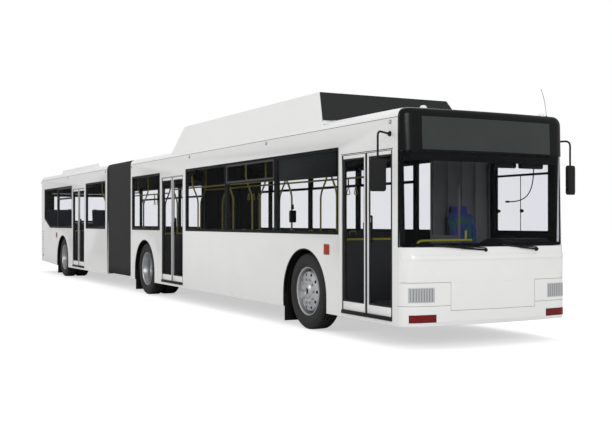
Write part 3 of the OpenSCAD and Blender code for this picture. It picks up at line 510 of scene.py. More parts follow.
class Shape:
    """One piece's mesh, gathered from simple closed forms that each take a finish slot."""

    def __init__(self):
        self.bm = bmesh.new()

    def _close(self, faces, slot):
        for face in faces:
            face.material_index = slot
        bmesh.ops.recalc_face_normals(self.bm, faces=faces)

    def box(self, lo, hi, slot=0, soft=0.0, turn=None):
        lo, hi = Vector(lo), Vector(hi)
        made = bmesh.ops.create_cube(self.bm, size=1.0)["verts"]
        for v in made:
            v.co = Vector(((lo[i] + hi[i]) / 2 + v.co[i] * (hi[i] - lo[i]) for i in range(3)))
        faces = list({f for v in made for f in v.link_faces})
        if soft:
            edges = list({e for v in made for e in v.link_edges})
            done = bmesh.ops.bevel(self.bm, geom=edges, offset=soft, segments=2,
                                   affect="EDGES", profile=0.5, clamp_overlap=True)
            faces = list(set(done["faces"]) | {f for v in done["verts"] for f in v.link_faces})
        if turn:
            bmesh.ops.transform(self.bm, matrix=turn, verts=list({v for f in faces for v in f.verts}))
        for face in faces:
            face.material_index = slot
        return faces

    def skin(self, rows, slot=0, wrap=True, caps=True):
        """Surface through rows of points; wrap joins each row's ends, caps closes the last rows."""
        made = [[self.bm.verts.new(p) for p in row] for row in rows]
        faces = []
        n = len(rows[0])
        for a, b in zip(made, made[1:]):
            for i in range(n if wrap else n - 1):
                faces.append(self.bm.faces.new((a[i], a[(i + 1) % n], b[(i + 1) % n], b[i])))
        if caps:
            faces.append(self.bm.faces.new(made[0][::-1]))
            faces.append(self.bm.faces.new(made[-1]))
        self._close(faces, slot)
        return faces

    def prism(self, outline, axis, a, b, slot=0):
        """Flat outline, given in the two other axes, pushed along an axis from a to b."""
        return self.skin([[ALONG[axis](p, w) for p in outline] for w in (a, b)], slot)

    def band(self, outer, inner, axis, a, b, slot=0):
        """Closed frame between two outlines of as many points, from a to b along an axis."""
        loop = ((outer, a), (outer, b), (inner, b), (inner, a))
        self.ring([[ALONG[axis](p, w) for p in line] for line, w in loop], slot)

    def turned(self, profile, centre, side, steps=64, slot=0, drop=None, turn=None):
        """Closed profile of (outward, radius) turned about X; drop lowers a radius at an angle."""
        rows = []
        for k in range(steps):
            angle = 2 * math.pi * k / steps
            cos, sin = math.cos(angle), math.sin(angle)
            row = []
            for i, (out, r) in enumerate(profile):
                low = r - (drop(i, k) if drop else 0.0)
                row.append((centre[0] + side * out, centre[1] + low * cos, centre[2] + low * sin))
            rows.append(row)
        faces = self.ring(rows, slot)
        if turn:
            bmesh.ops.transform(self.bm, matrix=turn, verts=list({v for f in faces for v in f.verts}))
        return faces

    def ring(self, rows, slot=0):
        """Closed surface through closed rows of points, the last joined to the first."""
        made = [[self.bm.verts.new(p) for p in row] for row in rows]
        faces = []
        n = len(rows[0])
        for k, a in enumerate(made):
            b = made[(k + 1) % len(made)]
            for i in range(n):
                faces.append(self.bm.faces.new((a[i], a[(i + 1) % n], b[(i + 1) % n], b[i])))
        self._close(faces, slot)
        return faces

    def round(self, start, end, r, slot=0, sides=20, r_end=None):
        """Straight rod or cone between two points."""
        start, end = Vector(start), Vector(end)
        turn = (end - start).to_track_quat("Z", "Y").to_matrix()
        rows = []
        for centre, radius in ((start, r), (end, r if r_end is None else r_end)):
            rows.append([centre + turn @ Vector((radius * cos, radius * sin, 0)) for cos,
                         sin in circle(sides)])
        return self.skin(rows, slot)

    def tube(self, points, r, slot=0, sides=10, closed=False):
        """Bent round bar through points."""
        points = [Vector(p) for p in points]
        n = len(points)
        rows = []
        side = None
        for i, p in enumerate(points):
            ahead = points[(i + 1) % n] if closed or i < n - 1 else p
            behind = points[i - 1] if closed or i > 0 else p
            way = (ahead - behind).normalized()
            if side is None:
                side = way.orthogonal().normalized()
            side = (side - way * side.dot(way)).normalized()
            up = way.cross(side)
            rows.append([p + side * (r * cos) + up * (r * sin) for cos, sin in circle(sides)])
        if closed:
            self.ring(rows, slot)
        else:
            self.skin(rows, slot)

    def pad(self, centre, size, crown, turn=None, slot=0, channels=(), cells=10):
        """Crowned cushion: full in the middle, tucked at its edges, with sewn channels across."""
        w, d, h = size
        rows = []
        for j in range(cells + 1):
            v = -1 + 2 * j / cells
            row = []
            for i in range(cells + 1):
                u = -1 + 2 * i / cells
                pull = 1 - 0.035 * (1 - u * u) if abs(v) == 1 else 1
                tuck = 1 - 0.035 * (1 - v * v) if abs(u) == 1 else 1
                rise = crown * (1 - u ** 4) * (1 - v ** 4)
                groove = sum(0.30 * crown * math.exp(-((v - c) / 0.09) ** 2) for c in channels)
                row.append(Vector((u * w / 2 * tuck, v * d / 2 * pull, h / 2 + rise - groove)))
            rows.append(row)
        belly = [[Vector((p.x * 0.97, p.y * 0.97, -h / 2)) for p in row] for row in rows]
        self.sheet(rows, belly, slot, Matrix.Translation(centre) @ (turn or Matrix()), flip=True)

    def patch(self, skin_of, across, up, towards, thick, slot=0, lift=0.0):
        """Thin closed plate laid on a CAD surface: across and up are rows of X and Z values."""
        outer, inner = [], []
        for z in up:
            front, back = [], []
            for x in across:
                y, normal = skin_of(x, z, towards)
                front.append(Vector((x, y, z)) + normal * (lift + thick))
                back.append(Vector((x, y, z)) + normal * lift)
            outer.append(front)
            inner.append(back)
        self.sheet(outer, inner, slot)

    def sheet(self, upper, lower, slot, place=None, flip=False):
        """Closed plate between two grids of points; flip turns the lower grid's faces over."""
        made = [[[self.bm.verts.new(p) for p in row] for row in layer] for layer in (upper, lower)]
        nj, ni = len(upper) - 1, len(upper[0]) - 1
        faces = []
        for layer, over in ((made[0], False), (made[1], flip)):
            for j in range(nj):
                for i in range(ni):
                    q = (layer[j][i], layer[j][i + 1], layer[j + 1][i + 1], layer[j + 1][i])
                    faces.append(self.bm.faces.new(q[::-1] if over else q))
        rim = ([(0, i) for i in range(ni)] + [(j, ni) for j in range(nj)]
               + [(nj, i) for i in range(ni, 0, -1)] + [(j, 0) for j in range(nj, 0, -1)])
        for k, (j, i) in enumerate(rim):
            m, n = rim[(k + 1) % len(rim)]
            faces.append(self.bm.faces.new((made[0][j][i], made[1][j][i], made[1][m][n], made[0][m][n])))
        if place is not None:
            bmesh.ops.transform(self.bm, matrix=place,
                                verts=[v for layer in made for row in layer for v in row])
        self._close(faces, slot)

    def finish(self, name, finishes, body=None, angle=32, replaces=()):
        """Turn the gathered mesh into an object that rides on a body of the frame."""
        mesh = bpy.data.meshes.new(name)
        self.bm.to_mesh(mesh)
        self.bm.free()
        mesh.shade_smooth()
        mesh.set_sharp_from_angle(angle=math.radians(angle))
        for material in finishes:
            mesh.materials.append(material)
        made = bpy.data.objects.new(name, mesh)
        bpy.context.scene.collection.objects.link(made)
        if body:
            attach(made, body)
        if replaces:
            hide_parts(*replaces)
        return made


def spread(a, b, n):
    return [a + (b - a) * i / n for i in range(n + 1)]


def islands(name):
    """Each separate solid of a CAD node: its corners and its points, from the front backwards."""
    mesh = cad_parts[name].data
    keys = [tuple(round(c, 5) for c in v.co) for v in mesh.vertices]
    home = {k: k for k in keys}

    def root(k):
        while home[k] != k:
            home[k] = home[home[k]]
            k = home[k]
        return k

    for edge in mesh.edges:
        a, b = (root(keys[i]) for i in edge.vertices)
        home[a] = b
    groups = {}
    for k in set(keys):
        groups.setdefault(root(k), []).append(Vector(k))
    out = []
    for points in groups.values():
        lo = Vector(min(p[i] for p in points) for i in range(3))
        hi = Vector(max(p[i] for p in points) for i in range(3))
        out.append((lo, hi, points))
    return sorted(out, key=lambda g: (round(g[0].y, 3), g[0].x))


def surface_of(*names):
    """Function that finds a CAD surface's depth and outward normal at an X and Z."""
    trees = []
    for name in names:
        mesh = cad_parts[name].data
        trees.append(BVHTree.FromPolygons([v.co for v in mesh.vertices], [p.vertices for p in mesh.polygons]))

    def find(x, z, towards):
        best = None
        for tree in trees:
            hit, normal, _, far = tree.ray_cast(Vector((x, -towards * 40, z)), Vector((0, towards, 0)))
            if hit and (best is None or far < best[2]):
                best = (hit.y, normal if normal.y * towards < 0 else -normal, far)
        if best is None:
            raise ValueError(f"no surface of {names} at {x:.3f}, {z:.3f}")
        return best[0], best[1]

    return find


def dressed(name, title, rule, finishes, body, soft=0.0, angle=32, groove=None):
    """Copy of a CAD node whose faces take a finish by their centre and outward normal."""
    bm = bmesh.new()
    bm.from_mesh(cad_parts[name].data)
    bmesh.ops.remove_doubles(bm, verts=bm.verts, dist=1e-5)
    if groove:
        whole = Shape()
        whole.bm.free()
        whole.bm = bm
        bm = cut_holes(whole, groove).bm
    if soft:
        bmesh.ops.dissolve_limit(bm, angle_limit=math.radians(1), verts=bm.verts, edges=bm.edges)
    for face in bm.faces:
        face.material_index = rule(face.calc_center_median(), face.normal)
    shape = Shape()
    shape.bm.free()
    shape.bm = bm
    made = shape.finish(title, finishes, body, angle=angle, replaces=(name,))
    if groove:
        even = made.modifiers.new("even normals", "WEIGHTED_NORMAL")
        even.keep_sharp = True
        even.weight = 100
    if soft:
        edge = made.modifiers.new("rounded edges", "BEVEL")
        edge.width = soft
        edge.segments = 3
        edge.limit_method = "ANGLE"
        edge.angle_limit = math.radians(25)
    return made


def coat(name, material):
    """Give every slot of a kept CAD node one finish."""
    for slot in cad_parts[name].material_slots:
        slot.material = material


# ---- body panels -----------------------------------------------------------


def outside(centre, normal):
    """0 on what faces away from the cabin, 1 on the faces that look into it."""
    middle = Vector((0, min(max(centre.y, FRONT + 1.2), BACK - 1.2), 1.7))
    return 0 if normal.dot(centre - middle) > 0 else 1


def wall_rule(centre, normal):
    if abs(normal.x) > 0.9 and abs(centre.x) > HALF - 0.002:
        return 0
    if abs(normal.x) > 0.9 and abs(centre.x) > HALF - 0.02:
        return 2
    if abs(normal.x) < 0.5 and centre.z < 1.22 and any(abs(centre.y - y) < 0.68 for y in AXLES):
        return 2
    if abs(normal.x) < 0.5 and abs(centre.x) > INNER - 0.01 and centre.z < BELT + 0.08:
        return 0
    return 1 if normal.x * centre.x < 0 or centre.z > BELT else 0


def cover_rule(centre, normal):
    return 1 if normal.y < -0.8 and centre.z > ROOF - 0.02 and centre.y < FRONT + 3 else 0


def paint_body():
    # Faces that look into the cabin take the near-black linings, which are painted shade of the dim cabin.
    paint, inside, edge = body_paint(), lining(), frit()
    for part, body in SECTIONS:
        for side in ("kerb", "driver"):
            dressed(f"{part}_{side}_wall", f"{part}_{side}_side", wall_rule, [paint, inside, edge], body)
        dressed(f"{part}_roof", f"{part}_roof_skin", outside, [roof_paint(), ceiling_lining()], body)
    # Joint that runs across the mask from each side of the hatch to the corners
    find = surface_of("front_mask")
    hatch_lo, hatch_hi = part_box("front_hatch")
    joint = hatch_hi.z + 0.0022
    groove = Shape()
    for a, b in ((-HALF + 0.004, hatch_lo.x - 0.004), (hatch_hi.x + 0.004, HALF - 0.004)):
        groove.patch(find, spread(a, b, 24), spread(joint - 0.0028, joint + 0.0028, 1), 1, 0.014, 0,
                     lift=-0.010)

    def mask_rule(centre, normal):
        return 1 if abs(normal.z) > 0.8 and abs(centre.z - joint) < 0.01 else outside(centre, normal)

    dressed("front_mask", "front_mask_skin", mask_rule, [paint, black_plastic()], "front_section", angle=14,
            groove=groove)
    dressed("front_bumper", "front_bumper_skin", outside, [paint, black_plastic()], "front_section", angle=14)
    dressed("front_header", "front_header_skin", outside, [black_gloss(), ceiling_lining()], "front_section")
    dressed("front_hatch", "front_hatch_skin", outside, [paint, black_plastic()], "front_hatch")
    dressed("rear_end_panel", "rear_end_skin", outside, [paint, lining()], "rear_section")
    dressed("rear_bumper", "rear_bumper_skin", outside, [paint, black_plastic()], "rear_section")
    dressed("engine_flap", "engine_flap_skin", outside, [paint, black_plastic()], "engine_flap")
    dressed("roof_tank_cover", "tank_cover_shell", cover_rule, [roof_paint(), grille_plastic()],
            "front_section", soft=0.028)
    for name in ("front_floor", "rear_floor"):
        coat(name, floor_vinyl())
    for name in ("front_wheel_boxes", "rear_wheel_boxes"):
        coat(name, black_plastic())
    for name in ("front_axle", "middle_axle", "rear_axle", "kerb_knuckle", "driver_knuckle"):
        coat(name, forged_steel())
    for name in ("turntable_base", "turntable_platform"):
        coat(name, checker_plate())
    coat("engine", forged_steel())
    coat("driver_partition", partition_laminate())
    coat("windscreen", window_glass())


def grille_plastic():
    """Dark louvred polypropylene: horizontal slats about 13 mm apart."""
    return surface("Louvred polypropylene", linear("#262728"), 0.6, 40, linear("#1f2021"),
                   kind="ShaderNodeTexWave", pattern={"bands_direction": "Z"}, bump_mm=1.5,
                   sockets={"Specular IOR Level": 0.3})


# ---- glazing ---------------------------------------------------------------


def glaze(name, title, body, hopper_panes):
    """Toughened panes with black edges, and hoppers above a transom in the panes listed."""
    edge = sizes().frit
    shape = Shape()
    count = {-1: 0, 1: 0}
    for lo, hi, points in islands(name):
        if hi.x - lo.x > 0.2:
            continue
        side = 1 if lo.x > 0 else -1
        outer, inner = side * max(abs(lo.x), abs(hi.x)), side * min(abs(lo.x), abs(hi.x))
        line = hull_outline([(p.y, p.z) for p in points])
        glass_back = outer - side * 0.0055
        shape.prism(rounded(line, 0.012), "X", outer, glass_back, 0)
        rim = rounded(inset(line, 0.0005), 0.012)
        hole = rounded(inset(line, edge), 0.022)
        shape.band(rim, hole, "X", glass_back - side * 0.0004, inner, 1)
        if (side, count[side]) in hopper_panes:
            bar = hi.z - sizes().hopper
            a, b = lo.y + edge * 0.8, hi.y - edge * 0.8
            shape.box((min(outer, outer - side * 0.03), a, bar - 0.022),
                      (max(outer, outer - side * 0.03), b, bar + 0.022), 2, soft=0.004)
            shell = rect((a, bar), (b, hi.z - edge * 0.8))
            shape.band(rounded(shell, 0.02), rounded(inset(shell, 0.026), 0.014), "X",
                       outer + side * 0.002, outer - side * 0.012, 3)
        count[side] += 1
    return shape.finish(title, [window_glass(), frit(), black_plastic(), grey_plastic()], body,
                        replaces=(name,))


def rear_window(shape, find):
    lo, hi, _ = islands("rear_glass")[-1]
    across = spread(lo.x + 0.002, hi.x - 0.002, 12)
    up = spread(lo.z + 0.002, hi.z - 0.002, 2)
    shape.patch(find, across, up, -1, 0.005, 0, lift=-0.006)
    for a, b in ((lo.x, lo.x + 0.07), (hi.x - 0.07, hi.x)):
        shape.patch(find, spread(a + 0.002, b - 0.002, 2), up, -1, 0.0008, 1, lift=-0.008)
    for a, b in ((lo.z, lo.z + 0.07), (hi.z - 0.09, hi.z)):
        shape.patch(find, across, spread(a + 0.002, b - 0.002, 1), -1, 0.0008, 1, lift=-0.0082)


def build_windows():
    glaze("front_side_glass", "front_side_windows", "front_section",
          {(-1, 1), (1, 2), (1, 3), (1, 4), (1, 5)})
    glaze("rear_glass", "rear_side_windows", "rear_section", {(-1, 1), (1, 0), (1, 1), (1, 2)})
    shape = Shape()
    rear_window(shape, surface_of("rear_glass"))
    shape.finish("rear_window", [window_glass(), frit()], "rear_section")
    # Black enamel along the windscreen's four edges
    find = surface_of("windscreen")
    shape = Shape()
    across = spread(-HALF + 0.10, HALF - 0.10, 24)
    shape.patch(find, across, spread(BELT + 0.004, BELT + 0.045, 1), 1, 0.0008, 0, lift=-0.0125)
    shape.patch(find, across, spread(SCREEN_TOP - 0.115, SCREEN_TOP - 0.004, 3), 1, 0.0008, 0, lift=-0.0125)
    for a, b in ((-HALF + 0.004, -HALF + 0.036), (HALF - 0.036, HALF - 0.004)):
        shape.patch(find, spread(a, b, 8), spread(BELT + 0.004, SCREEN_TOP - 0.004, 4), 1, 0.0008, 0,
                    lift=-0.0130)
    shape.finish("screen_surround", [frit()], "front_section")


def build_signs():
    """Unlit destination signs: one across the front, one in the first side window."""
    find = surface_of("front_header")
    shape = Shape()
    shape.patch(find, spread(-0.985, 0.985, 20), spread(SCREEN_TOP + 0.020, GUTTER + 0.010, 6), 1, 0.0012, 0,
                lift=0.0004)
    shape.finish("front_sign", [display_panel()], "front_section")
    pane = [g for g in islands("front_side_glass") if g[0].x < 0][0]
    shape = Shape()
    shape.box((-HALF + 0.016, pane[0].y + 0.10, pane[1].z - 0.37), (-HALF + 0.10, pane[1].y - 0.08,
                                                                    pane[1].z - 0.04),
              0, soft=0.006)
    shape.finish("side_sign", [side_display()], "front_section")


# ---- doors -----------------------------------------------------------------


# Thickness of a door leaf
LEAF_T = 0.034

def door_leaf(name):
    """White-framed leaf with a tall pane, rubber edge, inner grab bar and hinge tube."""
    lo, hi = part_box(name)
    front = name.endswith("front_leaf")
    x0, x1 = lo.x, lo.x + LEAF_T
    z0, z1 = lo.z + 0.032, hi.z - 0.026
    hinge_y, meet_y = (lo.y, hi.y) if front else (hi.y, lo.y)
    way = 1 if front else -1
    shape = Shape()

    def bar(a, b, c, d, slot):
        shape.box((x0, min(a, b), c), (x1, max(a, b), d), slot, soft=0.004)

    stile, top, bottom = 0.046, 0.044, 0.108
    bar(hinge_y, hinge_y + way * 0.026, z0, z1, 2)
    bar(meet_y, meet_y - way * 0.018, z0, z1, 2)
    bar(meet_y - way * 0.018, meet_y - way * stile, z0, z1, 0)
    bar(hinge_y + way * 0.026, meet_y - way * stile, z0, z0 + bottom, 0)
    bar(hinge_y + way * 0.026, meet_y - way * stile, z1 - top, z1, 0)
    a, b = sorted((hinge_y + way * 0.022, meet_y - way * (stile - 0.004)))
    line = rect((a, z0 + bottom - 0.004), (b, z1 - top + 0.004))
    shape.prism(rounded(line, 0.02), "X", x0 + 0.003, x0 + 0.009, 1)
    shape.band(rounded(line, 0.02), rounded(inset(line, 0.024), 0.03), "X", x0 + 0.0095, x0 + 0.020, 2)
    # Rubber finger guard on the meeting edge, and the brush along the bottom
    shape.box((x0 + 0.004, min(meet_y, meet_y + way * 0.003), z0), (x1 - 0.004,
                                                                    max(meet_y, meet_y + way * 0.003), z1), 2)
    shape.box((x0 + 0.002, min(meet_y - way * 0.012, meet_y - way * 0.0005), z0 + 0.002),
              (x0 - 0.001, max(meet_y - way * 0.012, meet_y - way * 0.0005), z1 - 0.002), 2)
    shape.box((x0 + 0.002, lo.y + 0.004, z0 - 0.007), (x1 - 0.002, hi.y - 0.004, z0 + 0.002), 2)
    # Grab bar on two lugs, and the lock box beside it
    bar_y, bar_x = meet_y - way * 0.029, x1 + 0.027
    shape.tube(smooth_path([(x1, bar_y, z0 + 0.89), (bar_x, bar_y, z0 + 0.89), (bar_x, bar_y, z0 + 1.205),
                            (x1, bar_y, z0 + 1.205)], 0.03), 0.013, 4)
    shape.box((x0 + 0.010, min(meet_y - way * 0.040, meet_y - way * 0.088), z0 + 0.95),
              (x0 + 0.030, max(meet_y - way * 0.040, meet_y - way * 0.088), z0 + 1.13), 4, soft=0.006)
    pin_x, pin_y = x1 + 0.010, hinge_y + way * 0.014
    shape.round((pin_x, pin_y, z0), (pin_x, pin_y, z1), 0.014, 4)
    shape.round((pin_x, pin_y, lo.z), (pin_x, pin_y, hi.z), 0.008, 5)
    shape.finish(name + "_finished", [body_paint(), window_glass(), rubber(), powder_coat(), black_plastic(),
                                      aluminium()], name, replaces=(name,))


def build_doors():
    for number in (1, 2, 3):
        for half in ("front", "rear"):
            door_leaf(f"door_{number}_{half}_leaf")
        # Black sill strip, aluminium tread edge and the drive box over the doorway
        front, rear = (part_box(f"door_{number}_{half}_leaf") for half in ("front", "rear"))
        body = "rear_section" if number == 3 else "front_section"
        a, b = front[0].y - 0.002, rear[1].y + 0.002
        shape = Shape()
        shape.box((-HALF - 0.014, a, FLOOR - 0.036), (-HALF + 0.012, b, FLOOR + 0.010), 3, soft=0.003)
        shape.box((-INNER - 0.01, a, FLOOR + 0.0005), (-INNER + 0.05, b, FLOOR + 0.004), 1, soft=0.001)
        shape.box((-INNER + 0.002, a, front[1].z + 0.02), (-INNER + 0.20, b, GUTTER - 0.02), 2, soft=0.015)
        shape.box((-HALF - 0.003, a - 0.02, front[1].z - 0.012), (-HALF + 0.002, b + 0.02,
                                                                  front[1].z - 0.004), 0)
        shape.finish(f"door_{number}_trim", [rubber(), aluminium(), grey_plastic(), black_plastic()], body)


# ---- wheels ----------------------------------------------------------------

TYRE_R = 0.535
TYRE_W = 0.290
RIM_R = 0.329
# Wheel disc: the radii between which its cone runs, and how far out the cone starts
CONE_R = (0.270, 0.208)
CONE_OUT = 0.80


def tyre(shape, centre, side):
    """Low-platform bus tyre: four ribs, slotted shoulders and a stepped sidewall."""
    w, r = TYRE_W / 2, TYRE_R
    groove = [(-0.075, 0), (-0.075, 0.012), (-0.065, 0.012), (-0.065, 0), (-0.030, 0), (-0.030, 0.012),
              (-0.020, 0.012), (-0.020, 0), (0.020, 0), (0.020, 0.012), (0.030, 0.012), (0.030, 0),
              (0.065, 0), (0.065, 0.012), (0.075, 0.012), (0.075, 0)]
    left = [(-0.112, RIM_R - 0.004), (-0.120, RIM_R + 0.012), (-w + 0.012, RIM_R + 0.030),
            (-w + 0.010, RIM_R + 0.048), (-w + 0.003, RIM_R + 0.056), (-w, RIM_R + 0.095), (-w + 0.002,
                                                                                            r - 0.075),
            (-w + 0.007, r - 0.068), (-w + 0.010, r - 0.040), (-w + 0.018, r - 0.018), (-w + 0.036,
                                                                                        r - 0.003)]
    tread = [(a, r - d) for a, d in groove]
    right = [(-a, b) for a, b in reversed(left)]
    profile = left + tread + right
    shoulder = {9: 0.008, 10: 0.010, len(left) + len(groove): 0.010, len(left) + len(groove) + 1: 0.008,
                len(left): 0.009, len(left) + len(groove) - 1: 0.009}
    steps = sizes().tread_blocks * 4
    shape.turned(profile, centre, side, steps, 0,
                 drop=lambda i, k: shoulder.get(i, 0.0) if k % 4 == 3 else 0.0)


def rim_profile():
    """Pressed rim: both flanges and the well between them."""
    return [(0.119, RIM_R + 0.014), (0.124, RIM_R + 0.010), (0.123, RIM_R + 0.003), (0.112, RIM_R - 0.008),
            (0.070, RIM_R - 0.014), (0.030, RIM_R - 0.030), (-0.060, RIM_R - 0.030), (-0.105, RIM_R - 0.010),
            (-0.119, RIM_R + 0.003), (-0.121, RIM_R + 0.012), (-0.115, RIM_R + 0.012),
            (-0.111, RIM_R - 0.001),
            (-0.100, RIM_R - 0.004), (-0.060, RIM_R - 0.022), (0.030, RIM_R - 0.022), (0.070, RIM_R - 0.007),
            (0.111, RIM_R - 0.001), (0.115, RIM_R + 0.012)]


def disc_profile(edge, flat, hub):
    """Coned disc from its weld in the well to the flat bolting face and the hub's bore."""
    brow = edge + (flat - edge) * CONE_OUT
    return [(edge, RIM_R - 0.031), (brow - 0.010, 0.279), (brow, CONE_R[0]), (flat - 0.004, CONE_R[1]),
            (flat, 0.199), (flat, hub), (flat - 0.012, hub), (flat - 0.012, 0.197),
            (flat - 0.016, 0.205), (brow - 0.013, 0.266), (brow - 0.024, 0.273), (edge - 0.012,
                                                                                  RIM_R - 0.031)]


def cut_holes(shape, cutter):
    """Take one closed mesh out of another and give the rest back as a shape."""
    parts = []
    for source in (shape, cutter):
        mesh = bpy.data.meshes.new("work")
        source.bm.to_mesh(mesh)
        made = bpy.data.objects.new("work", mesh)
        bpy.context.scene.collection.objects.link(made)
        parts.append(made)
    take = parts[0].modifiers.new("holes", "BOOLEAN")
    take.operation = "DIFFERENCE"
    take.solver = "EXACT"
    take.object = parts[1]
    done = parts[0].evaluated_get(bpy.context.evaluated_depsgraph_get()).to_mesh()
    out = Shape()
    out.bm.from_mesh(done)
    for made in parts:
        mesh = made.data
        bpy.data.objects.remove(made)
        bpy.data.meshes.remove(mesh)
    return out


def pierced_disc(edge, flat, hub, holes=10, hole_r=0.023):
    """Disc about the origin with its ring of hand holes."""
    disc, cutter = Shape(), Shape()
    disc.turned(disc_profile(edge, flat, hub), (0, 0, 0), 1, 80)
    lie = sum(CONE_R) / 2
    brow = edge + (flat - edge) * CONE_OUT
    out = (brow + flat - 0.004) / 2
    lean = Vector((CONE_R[0] - CONE_R[1], flat - 0.004 - brow)).normalized()
    for k in range(holes):
        angle = 2 * math.pi * k / holes
        ray = Vector((0, math.cos(angle), math.sin(angle)))
        centre = Vector((out, 0, 0)) + ray * lie
        way = Vector((lean.x, 0, 0)) + ray * lean.y
        cutter.round(centre - way * 0.05, centre + way * 0.05, hole_r, sides=18)
    return cut_holes(disc, cutter)


def merge(shape, part, centre, side, slot):
    """Add a part that was made about the origin, mirrored for the kerb side."""
    mesh = bpy.data.meshes.new("work")
    part.bm.to_mesh(mesh)
    turn = Matrix.Translation(centre) @ Matrix.Diagonal((side, 1, 1, 1))
    mesh.transform(turn)
    if side < 0:
        mesh.flip_normals()
    before = set(shape.bm.faces)
    shape.bm.from_mesh(mesh)
    for face in shape.bm.faces:
        if face not in before:
            face.material_index = slot
    bpy.data.meshes.remove(mesh)


def nuts(shape, centre, side, out, slot, ring=0.1675, count=10):
    for k in range(count):
        angle = 2 * math.pi * k / count
        p = Vector((centre[0] + side * out, centre[1] + ring * math.cos(angle),
                    centre[2] + ring * math.sin(angle)))
        shape.round(p, p + Vector((side * 0.006, 0, 0)), 0.021, slot, sides=18)
        shape.round(p, p + Vector((side * 0.020, 0, 0)), 0.0155, slot, sides=6, r_end=0.0145)
        shape.round(p, p + Vector((side * 0.027, 0, 0)), 0.008, slot, sides=10)


def build_wheels():
    front_disc = pierced_disc(0.030, 0.118, 0.110)
    twin_disc = pierced_disc(-0.030, -0.090, 0.110)
    paints = [tyre_rubber(), wheel_enamel(), forged_steel(), black_plastic()]
    for name in ("front_kerb_wheel", "front_driver_wheel"):
        lo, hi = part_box(name)
        side = -1 if lo.x < 0 else 1
        outer = lo.x if side < 0 else hi.x
        c = Vector((outer - side * TYRE_W / 2, (lo.y + hi.y) / 2, (lo.z + hi.z) / 2))
        shape = Shape()
        tyre(shape, c, side)
        shape.turned(rim_profile(), c, side, 80, 1)
        merge(shape, front_disc, c, side, 1)
        nuts(shape, c, side, 0.118, 1)
        # Hub cap, and the drum behind the disc with the bore for the spindle
        shape.turned([(0.010, 0.039), (0.010, 0.112), (0.116, 0.112), (0.124, 0.102), (0.140, 0.070),
                      (0.143, 0.052),
                      (0.139, 0.044), (0.122, 0.040), (0.100, 0.039)], c, side, 48, 1)
        shape.turned([(0.098, 0.0005), (0.098, 0.038), (0.092, 0.038), (0.092, 0.0005)], c, side, 32, 3)
        shape.turned([(-0.004, 0.0385), (-0.004, 0.105), (0.008, 0.105), (0.008, 0.0385)], c, side, 48, 2)
        shape.finish(name + "_finished", paints, name, replaces=(name,))
    for name in ("middle_kerb_wheels", "middle_driver_wheels", "rear_kerb_wheels", "rear_driver_wheels"):
        lo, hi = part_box(name)
        side = -1 if lo.x < 0 else 1
        outer, inner = (lo.x, hi.x) if side < 0 else (hi.x, lo.x)
        c = Vector((outer - side * TYRE_W / 2, (lo.y + hi.y) / 2, (lo.z + hi.z) / 2))
        far = Vector((inner + side * TYRE_W / 2, c.y, c.z))
        shape = Shape()
        for centre, turn in ((c, side), (far, -side)):
            tyre(shape, centre, turn)
            shape.turned(rim_profile(), centre, turn, 80, 1)
            merge(shape, twin_disc, centre, turn, 1)
        nuts(shape, c, side, -0.090, 1)
        # Planetary hub that stands out through the outer disc
        shape.turned([(-0.200, 0.0385), (-0.200, 0.119), (-0.060, 0.119), (-0.050, 0.112), (-0.010, 0.108),
                      (0.004, 0.098),
                      (0.010, 0.060), (0.010, 0.0385)], c, side, 48, 1)
        shape.turned([(0.006, 0.0005), (0.012, 0.0005), (0.012, 0.030), (0.010, 0.0384), (0.006, 0.0384)],
                     c, side, 32, 3)
        shape.finish(name + "_finished", paints, name, replaces=(name,))


# ---- bellows ---------------------------------------------------------------


def build_bellows():
    """Folded cloth between two hoops, from one section to the other."""
    lo, hi = BELLOWS
    half, top, foot = hi.x, hi.z, lo.z
    corner = 0.07
    deep = sizes().pleat_depth
    line = [(-half, z) for z in spread(foot, top - corner, 14)]
    line += [(-half + corner - corner * math.cos(a),
              top - corner + corner * math.sin(a)) for a in spread(0.16, 1.41, 4)]
    line += [(x, top) for x in spread(-half + corner, half - corner, 14)]
    line += [(half - corner + corner * math.sin(a),
              top - corner + corner * math.cos(a)) for a in spread(0.16, 1.41, 4)]
    line += [(half, z) for z in spread(top - corner, foot, 14)]
    per = 6
    steps = sizes().pleats * per
    a, b = lo.y + 0.012, hi.y - 0.012
    rows = []
    for k in range(steps + 1):
        fold = abs(math.sin(math.pi * k / per)) ** 0.6
        fade = min(1, k / per, (steps - k) / per)
        d = deep * (1 - fold) * (0.6 + 0.4 * fade) + 0.004
        row = []
        for x, z in line:
            out_x = math.copysign(max(0.0, abs(x) - d) if abs(x) > half - corner else abs(x), x)
            out_z = z - d if z > top - corner else z
            row.append(Vector((out_x, a + (b - a) * k / steps, out_z)))
        rows.append(row)
    shape = Shape()
    shape.skin(rows, 0, wrap=False, caps=False)
    cloth = shape.finish("bellows_cloth", [bellows_cloth()], angle=60, replaces=("bellows",))
    wall = cloth.modifiers.new("cloth thickness", "SOLIDIFY")
    wall.thickness = 0.003
    wall.offset = -1 if cloth.data.polygons[0].normal.x < 0 else 1
    with bpy.context.temp_override(object=cloth, active_object=cloth, selected_objects=[cloth]):
        bpy.ops.object.modifier_apply(modifier=wall.name)
    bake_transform(cloth)
    for name, body, y0, y1 in (("front_hoop", "front_section", lo.y, lo.y + 0.014),
                               ("rear_hoop", "rear_section", hi.y - 0.014, hi.y)):
        shape = Shape()
        arc = smooth_path([(-half + 0.025, 0, foot + 0.01), (-half + 0.025, 0, top - 0.025),
                           (half - 0.025, 0, top - 0.025), (half - 0.025, 0, foot + 0.01)], 0.09)
        rows = []
        for p in arc:
            push = Vector((p.x, 0, p.z - 1.6)).normalized() * 0.022
            rows.append([Vector((p.x, y, p.z)) + push * s for y, s in ((y0, -1), (y1, -1), (y1, 1), (y0, 1))])
        shape.skin(rows, 0)
        shape.finish(name, [aluminium()], body)


# ---- roof, lamps and small outside parts -----------------------------------


